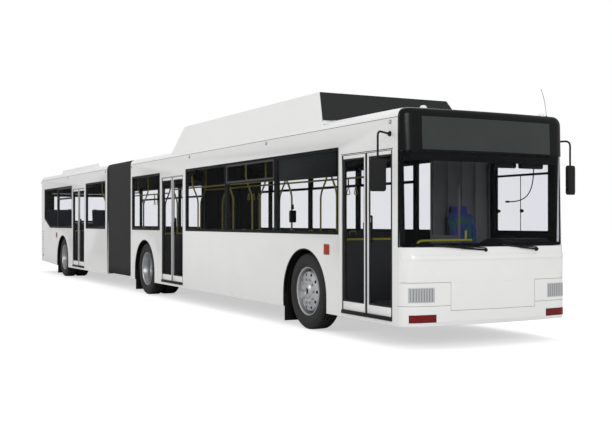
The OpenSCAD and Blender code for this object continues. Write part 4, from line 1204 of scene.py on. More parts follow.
def dome(shape, centre, r, high, slot, sides=18):
    """Low round cap on a flange, standing on +Z."""
    rows = []
    for out, up in ((1.15, 0.0), (1.15, 0.12), (1.0, 0.16), (0.97, 0.55), (0.75, 0.86), (0.35, 0.99),
                    (0.02, 1.0)):
        rows.append([Vector((centre[0] + r * out * cos, centre[1] + r * out * sin, centre[2] + high * up))
                     for cos, sin in circle(sides)])
    shape.skin(rows, slot)


def build_roof_parts():
    shape = Shape()
    for x, y in ((-0.87, FRONT + 0.27), (0.95, FRONT + 0.25)):
        dome(shape, (x, y, ROOF - 0.006), 0.044, 0.046, 0)
    base = Vector((1.03, FRONT + 0.24, ROOF - 0.02))
    shape.round(base, base + Vector((0, 0, 0.03)), 0.020, 1, r_end=0.012)
    shape.tube([base + Vector((0, 0.10 * t * t, 0.39 * t)) for t in spread(0, 1, 8)], 0.0032, 1, sides=6)
    # Roof hatch
    shape.box((-0.40, FRONT + 0.75, ROOF - 0.002), (0.40, FRONT + 1.55, ROOF + 0.045), 0, soft=0.02)
    shape.finish("front_roof_parts", [roof_paint(), black_plastic()], "front_section")
    cover_lo, cover_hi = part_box("roof_tank_cover")
    shape = Shape()
    # Seams between the cover's lids, and the low fairing at its front foot
    run = [cover_lo.y + 0.085 + (cover_hi.y - 0.70 - cover_lo.y - 0.085) * k / 4 for k in range(1, 4)]
    for y in run:
        shape.box((-HALF + 0.04, y - 0.0025, cover_hi.z - 0.001), (0.86, y + 0.0025, cover_hi.z + 0.0005), 1)
    rows = [[(-HALF + 0.012, cover_lo.y + 0.10, ROOF - 0.03), (-HALF + 0.25, cover_lo.y + 0.10, ROOF - 0.004),
             (-HALF + 0.25, cover_lo.y + 0.10, ROOF + 0.05), (-HALF + 0.012, cover_lo.y + 0.10, ROOF + 0.05)],
            [(-HALF + 0.025, cover_lo.y - 0.18, ROOF - 0.04), (-HALF + 0.12, cover_lo.y - 0.18, ROOF - 0.004),
             (-HALF + 0.12, cover_lo.y - 0.18, ROOF - 0.002), (-HALF + 0.025, cover_lo.y - 0.18,
                                                               ROOF - 0.03)]]
    shape.skin(rows, 0)
    shape.finish("tank_cover_trim", [roof_paint(), rubber()], "front_section")
    # Gutter strips along both sections; their mid grey is painted shade, the shadow line under the gutter.
    for part, body in SECTIONS:
        lo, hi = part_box(f"{part}_roof")
        shape = Shape()
        for s in (-1, 1):
            shape.tube([(s * (HALF + 0.0005), lo.y + 0.004, GUTTER + 0.001), (s * (HALF + 0.0005),
                                                                              hi.y - 0.004, GUTTER + 0.001)],
                       0.003, 0, sides=8)
        shape.finish(f"{part}_gutters", [grey_plastic()], body)
    lo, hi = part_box("rear_roof_unit")
    shape = Shape()
    side = rounded([(lo.y + 0.004, ROOF - 0.06), (lo.y + 0.004, ROOF + 0.01), (lo.y + 0.16, hi.z - 0.002),
                    (hi.y - 0.16, hi.z - 0.002),
                    (hi.y - 0.004, ROOF + 0.01), (hi.y - 0.004, ROOF - 0.06)], 0.03, 4)
    rows = []
    for x, k in ((-0.818, 0.92), (-0.808, 0.975), (-0.785, 1.0), (0.785, 1.0), (0.808, 0.975), (0.818, 0.92)):
        rows.append([(x, y, ROOF - 0.06 + (z - ROOF + 0.06) * k) for y, z in side])
    shape.skin(rows, 0)
    shape.finish("rear_unit_shell", [roof_paint()], "rear_section", replaces=("rear_roof_unit",))
    shape = Shape()
    for k in range(2):
        y = lo.y + (hi.y - lo.y) * (0.3 + 0.4 * k)
        turn = Matrix.Translation((0, y, hi.z - 0.006)) @ Matrix.Rotation(math.radians(-90), 4, "Y")
        for r in (0.27, 0.21, 0.15, 0.09):
            shape.turned([(0, r - 0.020), (0, r), (0.005, r), (0.005, r - 0.020)], (0, 0, 0), 1, 40, 1,
                         turn=turn)
    shape.finish("rear_unit_fans", [roof_paint(), black_plastic()], "rear_section")


def marker(shape, side, y, z, slot_base, slot_lens):
    """Small round side lamp."""
    x = side * HALF
    shape.round((x, y, z), (x + side * 0.006, y, z), 0.026, slot_base, sides=20)
    shape.round((x + side * 0.005, y, z), (x + side * 0.013, y, z), 0.018, slot_lens, sides=20, r_end=0.013)


def build_side_parts():
    wall = {"front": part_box("front_kerb_wall"), "rear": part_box("rear_kerb_wall")}
    for part, body in SECTIONS:
        lo, hi = wall[part]
        shape = Shape()
        z = GUTTER - 0.048
        spots = (0.16, 3.62, 6.92, hi.y - lo.y - 0.06) if part == "front" else (0.14, 3.86, 7.28)
        for s in (-1, 1):
            for step in spots:
                marker(shape, s, lo.y + step, z, 0, 1)
        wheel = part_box("front_kerb_wheel" if part == "front" else "rear_kerb_wheels")
        amber = wheel[0].y - 0.12 if part == "front" else wheel[1].y + 0.20
        for s in (-1, 1):
            x0, x1 = sorted((s * HALF, s * (HALF + 0.008)))
            shape.box((x0, amber - 0.070, 1.075), (x1, amber + 0.070, 1.205), 2, soft=0.003)
            x0, x1 = sorted((s * HALF, s * (HALF + 0.0025)))
            shape.box((x0, amber - 0.078, 1.067), (x1, amber + 0.078, 1.213), 0, soft=0.001)
        # Rubber lips round the wheel arches
        for name in (("front_kerb_wheel",
                      "middle_kerb_wheels") if part == "front" else ("rear_kerb_wheels",)):
            wlo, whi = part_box(name)
            y0, arch_z, r = (wlo.y + whi.y) / 2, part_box("front_wheel_boxes")[1].z - 0.660, 0.644
            for s in (-1, 1):
                arc = [(s * (HALF - 0.004), y0 - r, wall[part][0].z + 0.004)]
                arc += [(s * (HALF - 0.004), y0 - r * math.cos(a),
                         arch_z + r * math.sin(a)) for a in spread(0, math.pi, 30)]
                arc += [(s * (HALF - 0.004), y0 + r, wall[part][0].z + 0.06)]
                shape.tube(arc, 0.009, 3, sides=8)
        if part == "rear":
            # Cooling slots and the filler cap near the tail
            for k in range(9):
                z = 0.62 + 0.075 * k
                shape.box((-HALF - 0.003, hi.y - 0.34, z), (-HALF + 0.001, hi.y - 0.08, z + 0.012), 0,
                          soft=0.001)
            shape.round((-HALF, hi.y - 0.20, 0.52), (-HALF - 0.004, hi.y - 0.20, 0.52), 0.05, 0, sides=28)
        shape.finish(f"{part}_side_parts", [aluminium(), lamp_lens(), amber_lens(), rubber(),
                                            grey_plastic()], body)


def build_front_parts():
    find = surface_of("headlights")
    mask = surface_of("front_mask", "front_bumper")
    shape = Shape()
    for lo, hi, _ in islands("headlights"):
        across, up = spread(lo.x + 0.003, hi.x - 0.003, 14), spread(lo.z + 0.003, hi.z - 0.003, 4)
        shape.patch(find, across, up, 1, 0.0022, 0, lift=-0.0005)
        edge = surface_of("headlights", "front_mask", "front_bumper")
        wide, tall = (lo.x - 0.012, hi.x + 0.012), (lo.z - 0.004, hi.z + 0.004)
        for a, b, c, d in ((wide[0], wide[1], tall[0], tall[0] + 0.010), (wide[0], wide[1],
                                                                          tall[1] - 0.010, tall[1]),
                           (wide[0], wide[0] + 0.016, tall[0] + 0.010, tall[1] - 0.010),
                           (wide[1] - 0.016, wide[1], tall[0] + 0.010, tall[1] - 0.010)):
            shape.patch(edge, spread(a, b, 6), spread(c, d, 2), 1, 0.004, 1, lift=0.0002)
    shape.finish("headlamp_lenses", [lamp_lens(), lamp_rim()], "front_section")
    shape = Shape()
    for low, high, proud in ((1.062, 1.112, 0.009), (1.050, 1.066, 0.005)):
        shape.patch(surface_of("front_mask"), spread(-HALF + 0.012, HALF - 0.012, 40), spread(low, high,
                                                                                              2), 1, proud, 0,
                    lift=-0.001)
    ledge = shape.finish("belt_ledge", [body_paint()], "front_section", angle=60)
    edge = ledge.modifiers.new("rounded edges", "BEVEL")
    edge.width, edge.segments, edge.limit_method = 0.004, 3, "ANGLE"
    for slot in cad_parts["headlights"].material_slots:
        slot.material = lamp_bowl()
    shape = Shape()
    for s in (-1, 1):
        ends = sorted((s * 0.848, s * 1.180))
        shape.patch(mask, spread(ends[0], ends[1], 12), spread(0.330, 0.410, 2), 1, 0.006, 0, lift=0.0002)
        shape.patch(mask, spread(ends[0] - 0.006, ends[1] + 0.006, 12), spread(0.324, 0.416, 2), 1, 0.002,
                    1, lift=0.0001)
    shape.finish("front_reflectors", [red_lens(), black_plastic()], "front_section")
    # Mirror housings with their glass facing back, on bent tube arms
    for lo, hi, points in islands("mirrors"):
        s = -1 if lo.x < 0 else 1
        head = [p for p in points if p.z < 2.2]
        cx = sum(p.x for p in head) / len(head)
        cy = sum(p.y for p in head) / len(head)
        foot = Vector((s * HALF, hi.y - 0.034, 2.56))
        shape = Shape()
        shape.round(foot, foot + Vector((s * 0.012, 0, 0)), 0.034, 0, r_end=0.030)
        for k in range(5):
            a0, a1 = math.radians(18 * k), math.radians(18 * (k + 1))
            shape.round(foot + Vector((s * (0.010 + 0.024 * math.sin(a0)), 0, 0)),
                        foot + Vector((s * (0.010 + 0.024 * math.sin(a1)), 0, 0)), 0.026 * math.cos(a0), 0,
                        r_end=max(0.004, 0.026 * math.cos(a1)))
        arm = smooth_path([foot + Vector((s * 0.01, 0, 0)), (cx, cy, 2.575), (cx, cy, 2.20)], 0.07, 7)
        shape.tube(arm, 0.0125, 0, sides=12)
        turn = Matrix.Translation((cx, cy, 0)) @ Matrix.Rotation(math.radians(15) * s, 4, "Z")
        z0, z1 = 1.866, 2.250
        half = 0.098 if s < 0 else 0.082
        body_line = rounded([(-half, -0.036), (half, -0.036), (half, 0.024), (-half, 0.024)], 0.022, 5)
        rows = []
        for z, k in ((z0, 0.80), (z0 + 0.012, 0.95), (z0 + 0.035, 1.0), (z1 - 0.035, 1.0), (z1 - 0.012,
                                                                                            0.95),
                                                                                            (z1, 0.80)):
            rows.append([turn @ Vector((x * k, y * k, z)) for x, y in body_line])
        shape.skin(rows, 0)
        shape.box((0.012 - half, 0.020, z0 + 0.10), (half - 0.012, 0.027, z1 - 0.022), 1, soft=0.003,
                  turn=turn)
        shape.box((0.012 - half, 0.020, z0 + 0.018), (half - 0.012, 0.027, z0 + 0.090), 1, soft=0.003,
                  turn=turn)
        shape.finish("kerb_mirror" if s < 0 else "driver_mirror", [black_plastic(), mirror_glass()],
                     "front_section",
                     replaces=("mirrors",))


def build_wipers():
    """Two pantograph wipers: spindle cap, paired rods, blade carrier and rubber."""
    find = surface_of("front_mask", "windscreen")
    shape = Shape()
    for lo, hi, _ in islands("wipers"):
        foot_x, tip_x = (hi.x, lo.x) if hi.x < 0 else (hi.x - 0.20, lo.x)
        line = []
        for t in spread(0, 1, 12):
            x = foot_x + (tip_x - foot_x) * (0.06 + 0.90 * t)
            z = lo.z + 0.030 + (hi.z - lo.z - 0.060) * t
            y = find(x, z, 1)[0] - 0.020
            line.append(Vector((x, max(y, lo.y + 0.010), z)))
        shape.tube(line[:7], 0.0105, 0, sides=8)
        shape.tube(line[6:], 0.0065, 0, sides=8)
        shape.tube([p + Vector((0, 0.003, 0.024)) for p in line[:8]], 0.0065, 0, sides=8)
        shape.tube([p + Vector((0, 0.009, 0.008)) for p in line[3:]], 0.0080, 1, sides=8)
        foot = line[0]
        shape.round(foot + Vector((0, 0.022, 0)), foot + Vector((0, -0.006, 0)), 0.026, 0, r_end=0.020)
    shape.finish("wiper_arms", [black_plastic(), rubber()], "front_section", replaces=("wipers",))


def build_tail_parts():
    find = surface_of("rear_end_panel", "rear_bumper", "engine_flap")
    lamps = surface_of("tail_lamps")
    shape = Shape()
    for lo, hi, _ in islands("tail_lamps"):
        across = spread(lo.x + 0.006, hi.x - 0.006, 6)
        cells = spread(lo.z + 0.006, hi.z - 0.006, 4)
        for k, slot in enumerate((0, 2, 1, 0)):
            shape.patch(lamps, across, spread(cells[k] + 0.003, cells[k + 1] - 0.003, 2), -1, 0.003, slot,
                        lift=-0.0012)
    for s in (-1, 1):
        ends = sorted((s * 0.86, s * 1.10))
        shape.patch(find, spread(*ends, 6), spread(0.40, 0.46, 1), -1, 0.004, 0, lift=0.0002)
        ends = sorted((s * 0.82, s * 0.95))
        shape.patch(find, spread(*ends, 4), spread(2.55, 2.62, 1), -1, 0.006, 0, lift=0.0002)
    shape.patch(find, spread(-0.26, 0.26, 4), spread(0.375, 0.485, 1), -1, 0.003, 3, lift=0.0004)
    shape.finish("tail_lenses", [red_lens(), amber_lens(), lamp_lens(), aluminium()], "rear_section")
    coat("tail_lamps", black_plastic())
    # Louvres in the engine flap
    flap = surface_of("engine_flap")
    shape = Shape()
    for k in range(10):
        z = 0.66 + 0.045 * k
        shape.patch(flap, spread(-0.62, 0.62, 10), spread(z, z + 0.020, 1), -1, 0.006, 0, lift=0.0002)
    shape.finish("flap_louvres", [black_plastic()], "engine_flap")


# ---- cabin -----------------------------------------------------------------


def build_driver_place():
    lo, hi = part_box("dashboard")
    wheel_lo, wheel_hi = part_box("steering_wheel")
    seat_lo, seat_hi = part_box("driver_seat")
    cx = (wheel_lo.x + wheel_hi.x) / 2
    rows = []
    for k, x in enumerate(spread(lo.x + 0.004, hi.x - 0.004, 28)):
        rise = min(1.0, max(0.0, (x - cx + 0.46) / 0.22)) * min(1.0, max(0.0, (hi.x - 0.02 - x) / 0.10))
        top = BELT + 0.015 + (hi.z - 0.012 - BELT - 0.015) * (rise * rise * (3 - 2 * rise))
        side = rounded([(lo.y + 0.05, lo.z + 0.004), (hi.y - 0.16, lo.z + 0.004), (hi.y - 0.10, lo.z + 0.40),
                        (hi.y - 0.005, top - 0.17), (hi.y - 0.03, top), (lo.y + 0.10, top), (lo.y + 0.015,
                                                                                             BELT - 0.04)],
                       0.035, 4)
        rows.append([(x, y, z) for y, z in side])
    shape = Shape()
    shape.skin(rows, 0)
    shape.finish("dashboard_moulding", [black_plastic()], "front_section", replaces=("dashboard",))
    shape = Shape()
    # Instrument faces under the hood, and a row of switches
    face = hi.y + 0.001
    for k, (x, r) in enumerate(((-0.115, 0.048), (0.0, 0.055), (0.115, 0.048), (0.195, 0.026))):
        turn = Matrix.Translation((cx + x, face - 0.004, hi.z - 0.16)) @ Matrix.Rotation(math.radians(90),
                                                                                         4, "Z")
        shape.turned([(0, 0.002), (0, r), (0.010, r), (0.010, r - 0.006), (0.004, r - 0.008), (0.004, 0.002)],
                     (0, 0, 0), 1, 32, 0 if k < 3 else 1, turn=turn)
    for k in range(12):
        x = lo.x + 0.04 + 0.030 * k
        shape.box((x, hi.y - 0.030, BELT - 0.13), (x + 0.024, hi.y - 0.006, BELT - 0.08), 1, soft=0.002)
    # Sliding light in the driver's window: rail, middle edge and two finger grips
    pane = [g for g in islands("front_side_glass") if g[0].x > 0][0]
    x = HALF - 0.016
    mid = (pane[0].y + pane[1].y) / 2 + 0.03
    shape.box((x - 0.020, pane[0].y + 0.03, 2.135), (x + 0.008, pane[1].y - 0.03, 2.165), 1, soft=0.004)
    shape.box((x - 0.006, mid - 0.006, pane[0].z + 0.03), (x, mid + 0.006, 2.14), 1, soft=0.002)
    for y in (mid - 0.045, pane[1].y - 0.10):
        shape.round((x - 0.004, y, 1.66), (x - 0.034, y, 1.66), 0.020, 1, r_end=0.026)
    # Sun blind roll and the housing over the screen
    shape.box((-HALF + 0.16, FRONT + 0.16, SCREEN_TOP - 0.02), (HALF - 0.16, FRONT + 0.29,
                                                                SCREEN_TOP + 0.10), 2, soft=0.02)
    for a, b in ((0.16, 0.50), (0.56, 0.94)):
        shape.box((a, FRONT + 0.19, SCREEN_TOP - 0.165), (b, FRONT + 0.25, SCREEN_TOP - 0.02), 1, soft=0.02)
    shape.finish("dashboard_fittings", [aluminium(), black_plastic(), grey_plastic()], "front_section")
    # Upper half of the partition behind the seat, with its ribbed seams
    wall_lo, wall_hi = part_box("driver_partition")
    shape = Shape()
    shape.box((wall_lo.x + 0.002, wall_hi.y - 0.050, wall_hi.z + 0.001), (wall_hi.x - 0.002,
                                                                          wall_hi.y - 0.008,
                                                                          CEILING - 0.002), 0,
              soft=0.003)
    for k in range(5):
        x = wall_lo.x + 0.02 + (wall_hi.x - wall_lo.x - 0.04) * k / 4
        shape.box((x - 0.012, wall_hi.y - 0.066, wall_lo.z + 0.55), (x + 0.012, wall_hi.y - 0.048,
                                                                     CEILING - 0.004), 1, soft=0.004)
    shape.finish("partition_upper", [partition_laminate(), partition_laminate()], "front_section")
    # Curved arm of the driver's microphone
    shape = Shape()
    root = Vector((0.98, FRONT + 0.42, SCREEN_TOP - 0.06))
    shape.tube([root + Vector((-0.40 * t * t * t, 0.02 * t,
                               -0.52 * math.sin(t * math.pi / 2))) for t in spread(0, 1, 16)],
               0.007, 0, sides=8)
    tip = root + Vector((-0.40, 0.02, -0.52))
    shape.round(tip, tip + Vector((-0.05, 0, 0)), 0.014, 0, r_end=0.011)
    shape.finish("microphone_arm", [black_plastic()], "front_section")
    coat("steering_wheel", black_plastic())
    # Sprung seat: base, cushion, back with side bolsters, headrest
    shape = Shape()
    sx, sy = (seat_lo.x + seat_hi.x) / 2, (seat_lo.y + 0.29)
    z0 = seat_lo.z
    shape.round((sx, sy, z0), (sx, sy, z0 + 0.035), 0.19, 0, sides=32, r_end=0.18)
    rows = []
    for k in range(9):
        r = 0.105 + (0.012 if k % 2 else 0.0)
        rows.append([(sx + r * cos, sy + r * sin, z0 + 0.035 + 0.03 * k) for cos, sin in circle(28)])
    shape.skin(rows, 1)
    shape.box((sx - 0.22, sy - 0.25, z0 + 0.28), (sx + 0.22, sy + 0.20, z0 + 0.365), 0, soft=0.02)
    back = Matrix.Translation((sx, sy + 0.15, z0 + 0.44)) @ Matrix.Rotation(math.radians(-9), 4, "X")
    shape.box((-0.205, 0.072, 0.0), (0.205, 0.100, 0.60), 0, soft=0.014, turn=back)
    shape.box((-0.245, -0.14, 0.02), (-0.225, 0.09, 0.06), 1, soft=0.008, turn=back)
    shape.finish("driver_seat_frame", [grey_plastic(), rubber()], "front_section", replaces=("driver_seat",))
    shape = Shape()
    shape.pad((sx, sy - 0.04, z0 + 0.408), (0.46, 0.48, 0.075), 0.024, channels=(-0.45, 0.35), cells=14)
    for s in (-1, 1):
        shape.pad((sx + s * 0.195, sy - 0.04, z0 + 0.44), (0.075, 0.44, 0.05), 0.020, cells=8)
    lean = Matrix.Rotation(math.radians(-9), 4, "X") @ Matrix.Rotation(math.radians(90), 4, "X")
    middle = back @ Vector((0, 0.042, 0.33))
    shape.pad(middle, (0.42, 0.64, 0.060), 0.020, turn=lean, channels=(-0.5, 0.05, 0.55), cells=14)
    for s in (-1, 1):
        shape.pad(back @ Vector((s * 0.175, 0.020, 0.28)), (0.08, 0.50, 0.05), 0.018, turn=lean, cells=8)
    shape.pad(back @ Vector((0, 0.050, 0.675)), (0.28, 0.15, 0.055), 0.014, turn=lean, cells=8)
    pads = shape.finish("driver_seat_pads", [driver_cloth()], "front_section", angle=70)
    more = pads.modifiers.new("soft", "SUBSURF")
    more.levels = more.render_levels = 1


def build_seats():
    """Moulded double seats with cloth pads, grab handles and one leg each."""
    for part, body in SECTIONS:
        shells, pads = Shape(), Shape()
        for lo, hi, _ in islands(f"{part}_passenger_seats"):
            if hi.z - lo.z < 0.5:
                continue
            kerb = lo.x < 0
            y, base = hi.y - 0.095, hi.z - 1.0
            seat_z = base + 0.44
            wall_x, aisle_x = (lo.x, hi.x) if kerb else (hi.x, lo.x)
            way = 1 if kerb else -1
            for k in range(2):
                cx = aisle_x - way * (0.218 + 0.445 * k)
                # Shell: pan and back as one bent sheet with thickness
                line = [(-0.41, 0.425), (-0.36, 0.437), (-0.08, 0.412), (-0.015, 0.425), (0.015, 0.50),
                        (0.075, 0.985)]
                path = smooth_path([Vector((0, a, b)) for a, b in line], 0.04, 3)
                rows = []
                for w in (-0.212, -0.200, 0.200, 0.212):
                    lift = 0.020 if abs(w) > 0.205 else 0.0
                    rows.append([(cx + w, y + p.y - lift * 0.4, base + p.z + lift * 0.5) for p in path]
                                + [(cx + w, y + p.y + 0.018, base + p.z - 0.022) for p in reversed(path)])
                shells.skin(rows, 0)
                pads.pad((cx, y - 0.225, seat_z + 0.008), (0.385, 0.34, 0.022), 0.014, channels=(0.0,),
                         turn=Matrix.Rotation(math.radians(-3.5), 4, "X"), cells=10)
                lean = Matrix.Rotation(math.radians(-7.5), 4, "X") @ Matrix.Rotation(math.radians(90), 4, "X")
                pads.pad((cx, y + 0.022, base + 0.73), (0.375, 0.43, 0.022), 0.014, turn=lean,
                         channels=(-0.35, 0.35), cells=10)
            # Grab handle on the aisle shoulder, beam under the pans, wall bracket and leg
            hx = aisle_x - way * 0.04
            shells.tube(smooth_path([(hx, y + 0.075, base + 0.86), (hx, y + 0.082, base + 0.995),
                                     (hx - way * 0.12, y + 0.086, base + 0.995),
                                     (hx - way * 0.12, y + 0.075, base + 0.90)], 0.035), 0.011, 1, sides=10)
            a, b = sorted((aisle_x - way * 0.06, wall_x - way * 0.002))
            shells.box((a, y - 0.29, base + 0.355), (b, y - 0.12, base + 0.40), 2, soft=0.008)
            leg = aisle_x - way * 0.10
            shells.tube([(leg, y - 0.20, base + 0.002), (leg, y - 0.20, base + 0.36)], 0.022, 2, sides=14)
            shells.box((leg - 0.05, y - 0.27, base + 0.001), (leg + 0.05, y - 0.13, base + 0.010), 2,
                       soft=0.003)
        shells.finish(f"{part}_seat_shells", [grey_plastic(), powder_coat(), aluminium()], body,
                      replaces=(f"{part}_passenger_seats",))
        soft = pads.finish(f"{part}_seat_pads", [seat_cloth()], body, angle=70)


def pole_feet(name):
    """Where the poles of a CAD handrail node meet the floor, as (x, y)."""
    spots = {}
    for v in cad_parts[name].data.vertices:
        if v.co.z < FLOOR + 0.002:
            spots.setdefault((round(v.co.x / 0.5), round(v.co.y, 1)), []).append(v.co)
    out = []
    for points in spots.values():
        x = sum(p.x for p in points) / len(points)
        y = (min(p.y for p in points) + max(p.y for p in points)) / 2
        if not any((Vector((x, y)) - Vector(q)).length < 0.08 for q in out):
            out.append((x, y))
    return sorted(out, key=lambda p: (p[0], p[1]))


def strap(shape, x, y, z):
    """Hanging strap with a stiff triangular grip."""
    shape.box((x - 0.012, y - 0.003, z - 0.13), (x + 0.012, y + 0.003, z + 0.004), 1, soft=0.001)
    ring = [(x, y - 0.006, z - 0.125), (x, y + 0.006, z - 0.125), (x, y + 0.05, z - 0.225), (x, y + 0.046,
                                                                                             z - 0.243),
            (x, y + 0.030, z - 0.25), (x, y - 0.030, z - 0.25), (x, y - 0.046, z - 0.243), (x, y - 0.05,
                                                                                            z - 0.225)]
    shape.tube(ring, 0.0075, 0, sides=8, closed=True)


def build_handrails():
    r = sizes().rail
    # Heights of the strap rails and of the entry rail
    high, entry = 2.22, 1.275
    for part, body in SECTIONS:
        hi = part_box(f"{part}_handrails")[1]
        feet = pole_feet(f"{part}_handrails")
        shape = Shape()
        for x, y in feet:
            s = 1 if x > 0 else -1
            shape.tube(smooth_path([(x, y, FLOOR), (x, y, 1.98), (x + s * 0.13, y, 2.28), (x + s * 0.13, y,
                                                                                           CEILING)], 0.10),
                       r, 0, sides=12)
            shape.round((x, y, FLOOR), (x, y, FLOOR + 0.012), 0.034, 2, r_end=0.026)
        for s in (-1, 1):
            x = s * (abs(hi.x) - r) + s * 0.10
            ys = [y for px, y in feet if px * s > 0]
            shape.tube([(x, min(ys), high), (x, max(*ys, hi.y - 0.02), high)], r, 0, sides=12)
            bays = [(a, b) for a, b in zip(ys, ys[1:]) if b - a > 0.9] if s > 0 else []
            for a, b in bays[::2]:
                for k in range(3):
                    strap(shape, x, (a + b) / 2 + (k - 1) * 0.24, high - r)
        shape.finish(f"{part}_rails", [powder_coat(), rubber(), aluminium()], body,
                     replaces=(f"{part}_handrails",))
    # Entry rail with its stub, and the ticket reader on a kerb side pole
    shape = Shape()
    low = FRONT + 0.62
    shape.tube(smooth_path([(-0.72, low, FLOOR), (-0.72, low, 1.27), (-0.45, low, entry),
                            (0.12, low, entry)], 0.07), r, 0, sides=12)
    shape.tube([(0.03, low, entry), (0.03, low, 1.40)], r * 0.9, 0, sides=12)
    feet = [p for p in pole_feet("front_handrails") if p[0] < 0]
    for x, y in feet[1:2]:
        shape.box((x - 0.045, y - 0.085, 1.50), (x + 0.045, y + 0.02, 1.70), 1, soft=0.012)
        shape.round((x, y - 0.03, 1.72), (x, y - 0.03, 1.80), 0.026, 3, r_end=0.018)
    shape.finish("entry_rails", [powder_coat(), side_display(), aluminium(), black_plastic()],
                 "front_section")


def build_lining():
    """Light covers, coving, duct cabinet and draught screens."""
    for part, body in SECTIONS:
        lo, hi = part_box(f"{part}_roof")
        a, b = lo.y + 0.25, hi.y - 0.05
        shape = Shape()
        for s in (-1, 1):
            cove = [(s * (INNER - 0.002), 2.50), (s * (INNER - 0.002), CEILING - 0.002),
                    (s * 0.74, CEILING - 0.002),
                    (s * 0.78, CEILING - 0.04), (s * 1.06, 2.56)]
            shape.prism(rounded(cove, 0.015, 3), "Y", a, b, 0)
            x0, x1 = sorted((s * 0.56, s * 0.70))
            shape.box((x0, a + 1.9, CEILING - 0.026), (x1, b - 0.2, CEILING + 0.001), 1, soft=0.01)
        shape.finish(f"{part}_ceiling_fittings", [lining(), light_diffuser()], body)
    # Ribbed duct cabinet over the driver's side middle wheel
    shape = Shape()
    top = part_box("front_wheel_boxes")[1].z + 0.002
    shape.box((0.72, -0.76, top), (INNER - 0.004, 0.60, CEILING - 0.004), 0, soft=0.01)
    for k in range(12):
        y = -0.74 + 0.116 * k
        shape.box((0.705, y, top + 0.02), (0.722, y + 0.05, CEILING - 0.02), 0, soft=0.004)
    shape.finish("duct_cabinet", [lining()], "front_section")
    # Draught screens beside the doorways: grey panels in tube frames
    for number, body in ((1, "front_section"), (2, "front_section"), (3, "rear_section")):
        front, rear = (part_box(f"door_{number}_{half}_leaf") for half in ("front", "rear"))
        shape = Shape()
        spots = [rear[1].y + 0.055] if number == 1 else [front[0].y - 0.055, rear[1].y + 0.055]
        for y in spots:
            line = rect((-INNER + 0.02, FLOOR + 0.10), (-0.42, 1.26))
            shape.prism(rounded(line, 0.05), "Y", y - 0.004, y + 0.004, 1)
            shape.tube(smooth_path([(-INNER + 0.015, y, FLOOR + 0.001), (-INNER + 0.015, y, 1.28),
                                    (-0.40, y, 1.28),
                                    (-0.40, y, FLOOR + 0.001)], 0.06), 0.014, 0, sides=10)
        shape.finish(f"door_{number}_screens", [powder_coat(), grey_plastic()], body)


# ---- studio ----------------------------------------------------------------


def build_studio():
    settings = bpy.context.scene.bus_studio
    scene = bpy.context.scene
    scene.view_settings.view_transform = "Standard"
    shape = Shape()
    shape.bm.faces.new([shape.bm.verts.new(p) for p in ((-70, -70, 0), (70, -70, 0), (70, 70, 0),
                                                        (-70, 70, 0))])
    ground = shape.finish("studio_floor", [studio_floor()])
    world = bpy.data.worlds.new("studio_light")
    world.use_nodes = True
    scene.world = world
    tree = world.node_tree
    tree.nodes.clear()
    ray = node(tree, "ShaderNodeLightPath")
    seen = node(tree, "ShaderNodeMath", {0: ray.outputs["Is Camera Ray"],
                                         1: ray.outputs["Is Transmission Ray"]},
                operation="MAXIMUM")
    glow = node(tree, "ShaderNodeMapRange", {"Value": seen.outputs[0], "To Min": settings.sky, "To Max": 1.0})
    back = node(tree, "ShaderNodeBackground", {"Color": (1, 1, 1, 1), "Strength": glow.outputs["Result"]})
    node(tree, "ShaderNodeOutputWorld", {"Surface": back.outputs[0]})
    lamps = (("key_softbox", (-7, -32, 11), 11.0, 2300), ("side_softbox", (-24, 2, 12), 12.0, 1250),
             ("top_softbox", (4, 0, 18), 14.0, 1100))
    for name, place, size, power in lamps:
        light = bpy.data.lights.new(name, "AREA")
        light.shape = "DISK"
        light.size = size
        light.energy = power
        lamp = bpy.data.objects.new(name, light)
        lamp.location = place
        lamp.rotation_euler = (Vector((0, -2, 1)) - Vector(place)).to_track_quat("-Z", "Y").to_euler()
        scene.collection.objects.link(lamp)
    eye = bpy.data.cameras.new("studio_camera")
    eye.sensor_width = 36
    eye.lens = settings.lens
    eye.clip_end = 200
    camera = bpy.data.objects.new("studio_camera", eye)
    camera.location = settings.eye
    camera.rotation_euler = (settings.tilt, 0, settings.yaw)
    scene.collection.objects.link(camera)
    scene.camera = camera


def studio_floor():
    """Seamless white vinyl sweep: white to the eye, keeping soft shadows."""
    made = bpy.data.materials.get("White vinyl sweep")
    if made:
        return made
    made = bpy.data.materials.new("White vinyl sweep")
    made.use_nodes = True
    tree = made.node_tree
    tree.nodes.clear()
    place = node(tree, "ShaderNodeTexCoord")
    grain = node(tree, "ShaderNodeTexNoise", {"Vector": place.outputs["Object"], "Scale": 1000 / 40})
    tint = ramp(tree, grain.outputs[0], linear("#e2e2e2"), linear("#e4e4e4"))
    matt = node(tree, "ShaderNodeBsdfDiffuse", {"Color": tint})
    ray = node(tree, "ShaderNodeLightPath")
    seen = node(tree, "ShaderNodeMath", {0: ray.outputs["Is Camera Ray"],
                                         1: ray.outputs["Is Transmission Ray"]}, operation="MAXIMUM")
    lift = node(tree, "ShaderNodeMath", {0: seen.outputs[0], 1: 0.55}, operation="MULTIPLY")
    glow = node(tree, "ShaderNodeEmission", {"Color": (1, 1, 1, 1), "Strength": lift.outputs[0]})
    both = node(tree, "ShaderNodeAddShader", {0: matt.outputs[0], 1: glow.outputs[0]})
    node(tree, "ShaderNodeOutputMaterial", {"Surface": both.outputs[0]})
    return made


# ---- operators -------------------------------------------------------------


class BUS_OT_studio(Operator):
    """Lay the floor, hang the lights and set up the camera."""

    bl_idname = "bus.studio"
    bl_label = "Studio"

    def execute(self, context):
        build_studio()
        return {"FINISHED"}


class BUS_OT_body(Operator):
    """Finish the walls, roofs, end mouldings, lids, floors and running gear."""

    bl_idname = "bus.body"
    bl_label = "Body Panels"

    def execute(self, context):
        paint_body()
        return {"FINISHED"}


